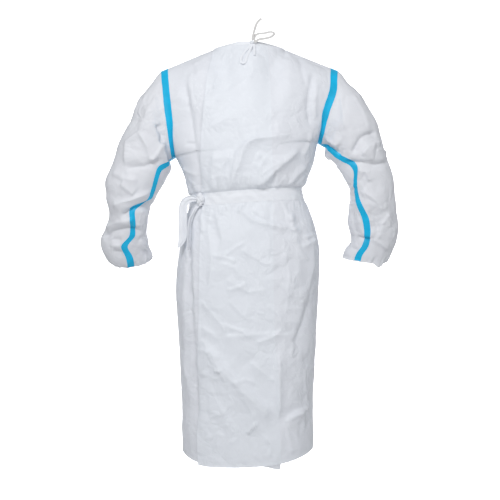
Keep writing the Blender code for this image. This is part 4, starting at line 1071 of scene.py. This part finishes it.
# Points from the knot down, each with the strip's width, all in mm, and the direction across it.
tailSizes = {"steps": 44, "thickness": 0.9 * mm, "folds": 1.6 * mm, "curl": 1.2 * mm}
tails = {
    "belt_tail_outer": [
        (-154, -86.9, -458, 14, (0, 0, 1)),
        (-166, -84.5, -456, 18, (-0.2, 0, 1)),
        (-179, -83, -459, 22, (-0.6, 0, 0.8)),
        (-189, -83, -470, 25, (-0.9, 0, 0.45)),
        (-193, -84, -490, 26, (-1, 0, 0.1)),
        (-193.5, -86, -520, 26, (-1, 0, 0)),
        (-193.5, -89, -555, 26, (-1, 0, 0)),
        (-194.5, -91, -573, 24, (-1, 0, 0)),
        (-199, -92, -588, 16, (-1, 0, 0.15)),
        (-207, -92, -599.5, 6, (-0.9, 0, 0.4)),
    ],
    "belt_tail_inner": [
        (-148, -92.8, -477.8, 12, (1, 0, 0)),
        (-158, -95.5, -493, 17, (0.8, 0.45, 0.5)),
        (-168, -98.5, -513, 20, (0.55, 0.8, 0.3)),
        (-173.5, -101.5, -540, 21, (0.35, 0.94, 0.1)),
        (-175, -105.5, -575, 21, (0.3, 0.95, 0)),
        (-175, -110, -606, 21, (0.3, 0.95, 0)),
    ],
}
for node, table in tails.items():
    positions = np.linspace(0, len(table) - 1, tailSizes["steps"])
    route, widths = np.split(throughPoints([row[:4] for row in table], positions) * mm, [3], axis=1)
    across = unit(throughPoints([row[4] for row in table], positions))
    out = unit(np.cross(across, np.gradient(route, axis=0)))
    shares = np.linspace(-0.5, 0.5, 13)
    # Two lengthwise folds run down each end, as the strip is pulled through the knot.
    pleat = tailSizes["folds"] * np.cos(shares * 4 * math.pi) - tailSizes["curl"] * (2 * shares)**2
    fade = 0.35 + 0.65 * np.exp(-positions / 3.0)
    grid = (route[:, None] + across[:, None] * (widths * shares)[:, :, None]
            + out[:, None] * (fade[:, None] * pleat)[:, :, None])
    tail = addMesh(node + "_strip", grid, gridFaces(*grid.shape[:2]), stripCloth, tailSizes["thickness"], 0.0)
    standIn(tail, node)


# Neck binding

bindingSizes = {"width": 12 * mm, "thickness": 1.2 * mm, "bulge": 0.8 * mm, "lean": 0.25, "sideLean": 2.6}
neckRight = underLast + backCounts["plain"]
frontLeft = frontCounts["seamLeft"] + frontCounts["sideLeft"]
frontRight = frontLeft + frontCounts["middle"]
underLine = (back[-1] - backNormals[-1] * layerStep)[overFirst:underLast + 1][::-1]
path = np.concatenate((underLine[:-1], front[-1, frontLeft:frontRight + 1][:-1],
                       back[-1, overFirst:neckRight + 1][::-1]))
inwards = unit(path * onAxis - path)
lean = bindingSizes["lean"] + bindingSizes["sideLean"] * np.abs(inwards[:, :1])**3
rise = unit(inwards * lean + onAxis)
levels = np.linspace(0.0, 1.0, 5)
low = path + (inwards + rise) * seamGap
grid = np.array([low + rise * bindingSizes["width"] * level - inwards * out
                 for level, out in zip(levels, bindingSizes["bulge"] * np.sin(np.pi * levels))])
faces = facingOut(grid, gridFaces(*grid.shape[:2]), grid.reshape(-1, 3) * onAxis)
binding = addMesh("binding_strip", grid, faces, stripCloth, bindingSizes["thickness"])
standIn(binding, "neck_binding")


# Floor, backdrop and lights

studio = {"floorZ": -3.0, "front": -8.0, "back": 5.0, "half": 9.0, "bend": 2.0, "top": 6.0}
profile = [(studio["front"], studio["floorZ"])]
for step in range(13):
    angle = math.pi / 2 * step / 12
    profile.append((studio["back"] - studio["bend"] + studio["bend"] * math.sin(angle),
                    studio["floorZ"] + studio["bend"] * (1.0 - math.cos(angle))))
profile.append((studio["back"], studio["top"]))
paper = bpy.data.materials.new("studio paper, matt")
paper.use_nodes = True
paper.node_tree.nodes["Principled BSDF"].inputs["Base Color"].default_value = toLinear("#f4f4f4")
paper.node_tree.nodes["Principled BSDF"].inputs["Roughness"].default_value = 0.9
sweep = addMesh("floor", [(x, y, z) for y, z in profile for x in (-studio["half"], studio["half"])],
                gridFaces(len(profile), 2), paper)

world = bpy.data.worlds.new("studio")
world.use_nodes = True
world.node_tree.nodes["Background"].inputs["Color"].default_value = (0.94, 0.97, 1.0, 1.0)
world.node_tree.nodes["Background"].inputs["Strength"].default_value = 0.42
bpy.context.scene.world = world

lights = [
    # name, place, aimed at, size, power
    ("key", (-0.8, -2.9, 1.4), (0.0, 0.0, -0.5), (0.8, 0.8), 55.0),
    ("fill", (1.6, -3.0, 0.2), (0.0, 0.0, -0.6), (1.6, 2.2), 14.0),
    ("backdrop", (0.0, 3.3, -0.6), (0.0, 5.0, -0.9), (3.8, 3.4), 180.0),
]
for name, place, aim, size, power in lights:
    lamp = bpy.data.lights.new(name, "AREA")
    lamp.shape = "RECTANGLE"
    lamp.size, lamp.size_y = size
    lamp.energy = power
    light = bpy.data.objects.new(name, lamp)
    light.location = place
    towards = unit(np.array(aim) - np.array(place))
    light.rotation_euler = (math.acos(-towards[2]), 0.0, math.atan2(-towards[0], towards[1]))
    bpy.context.scene.collection.objects.link(light)
print("stage done")
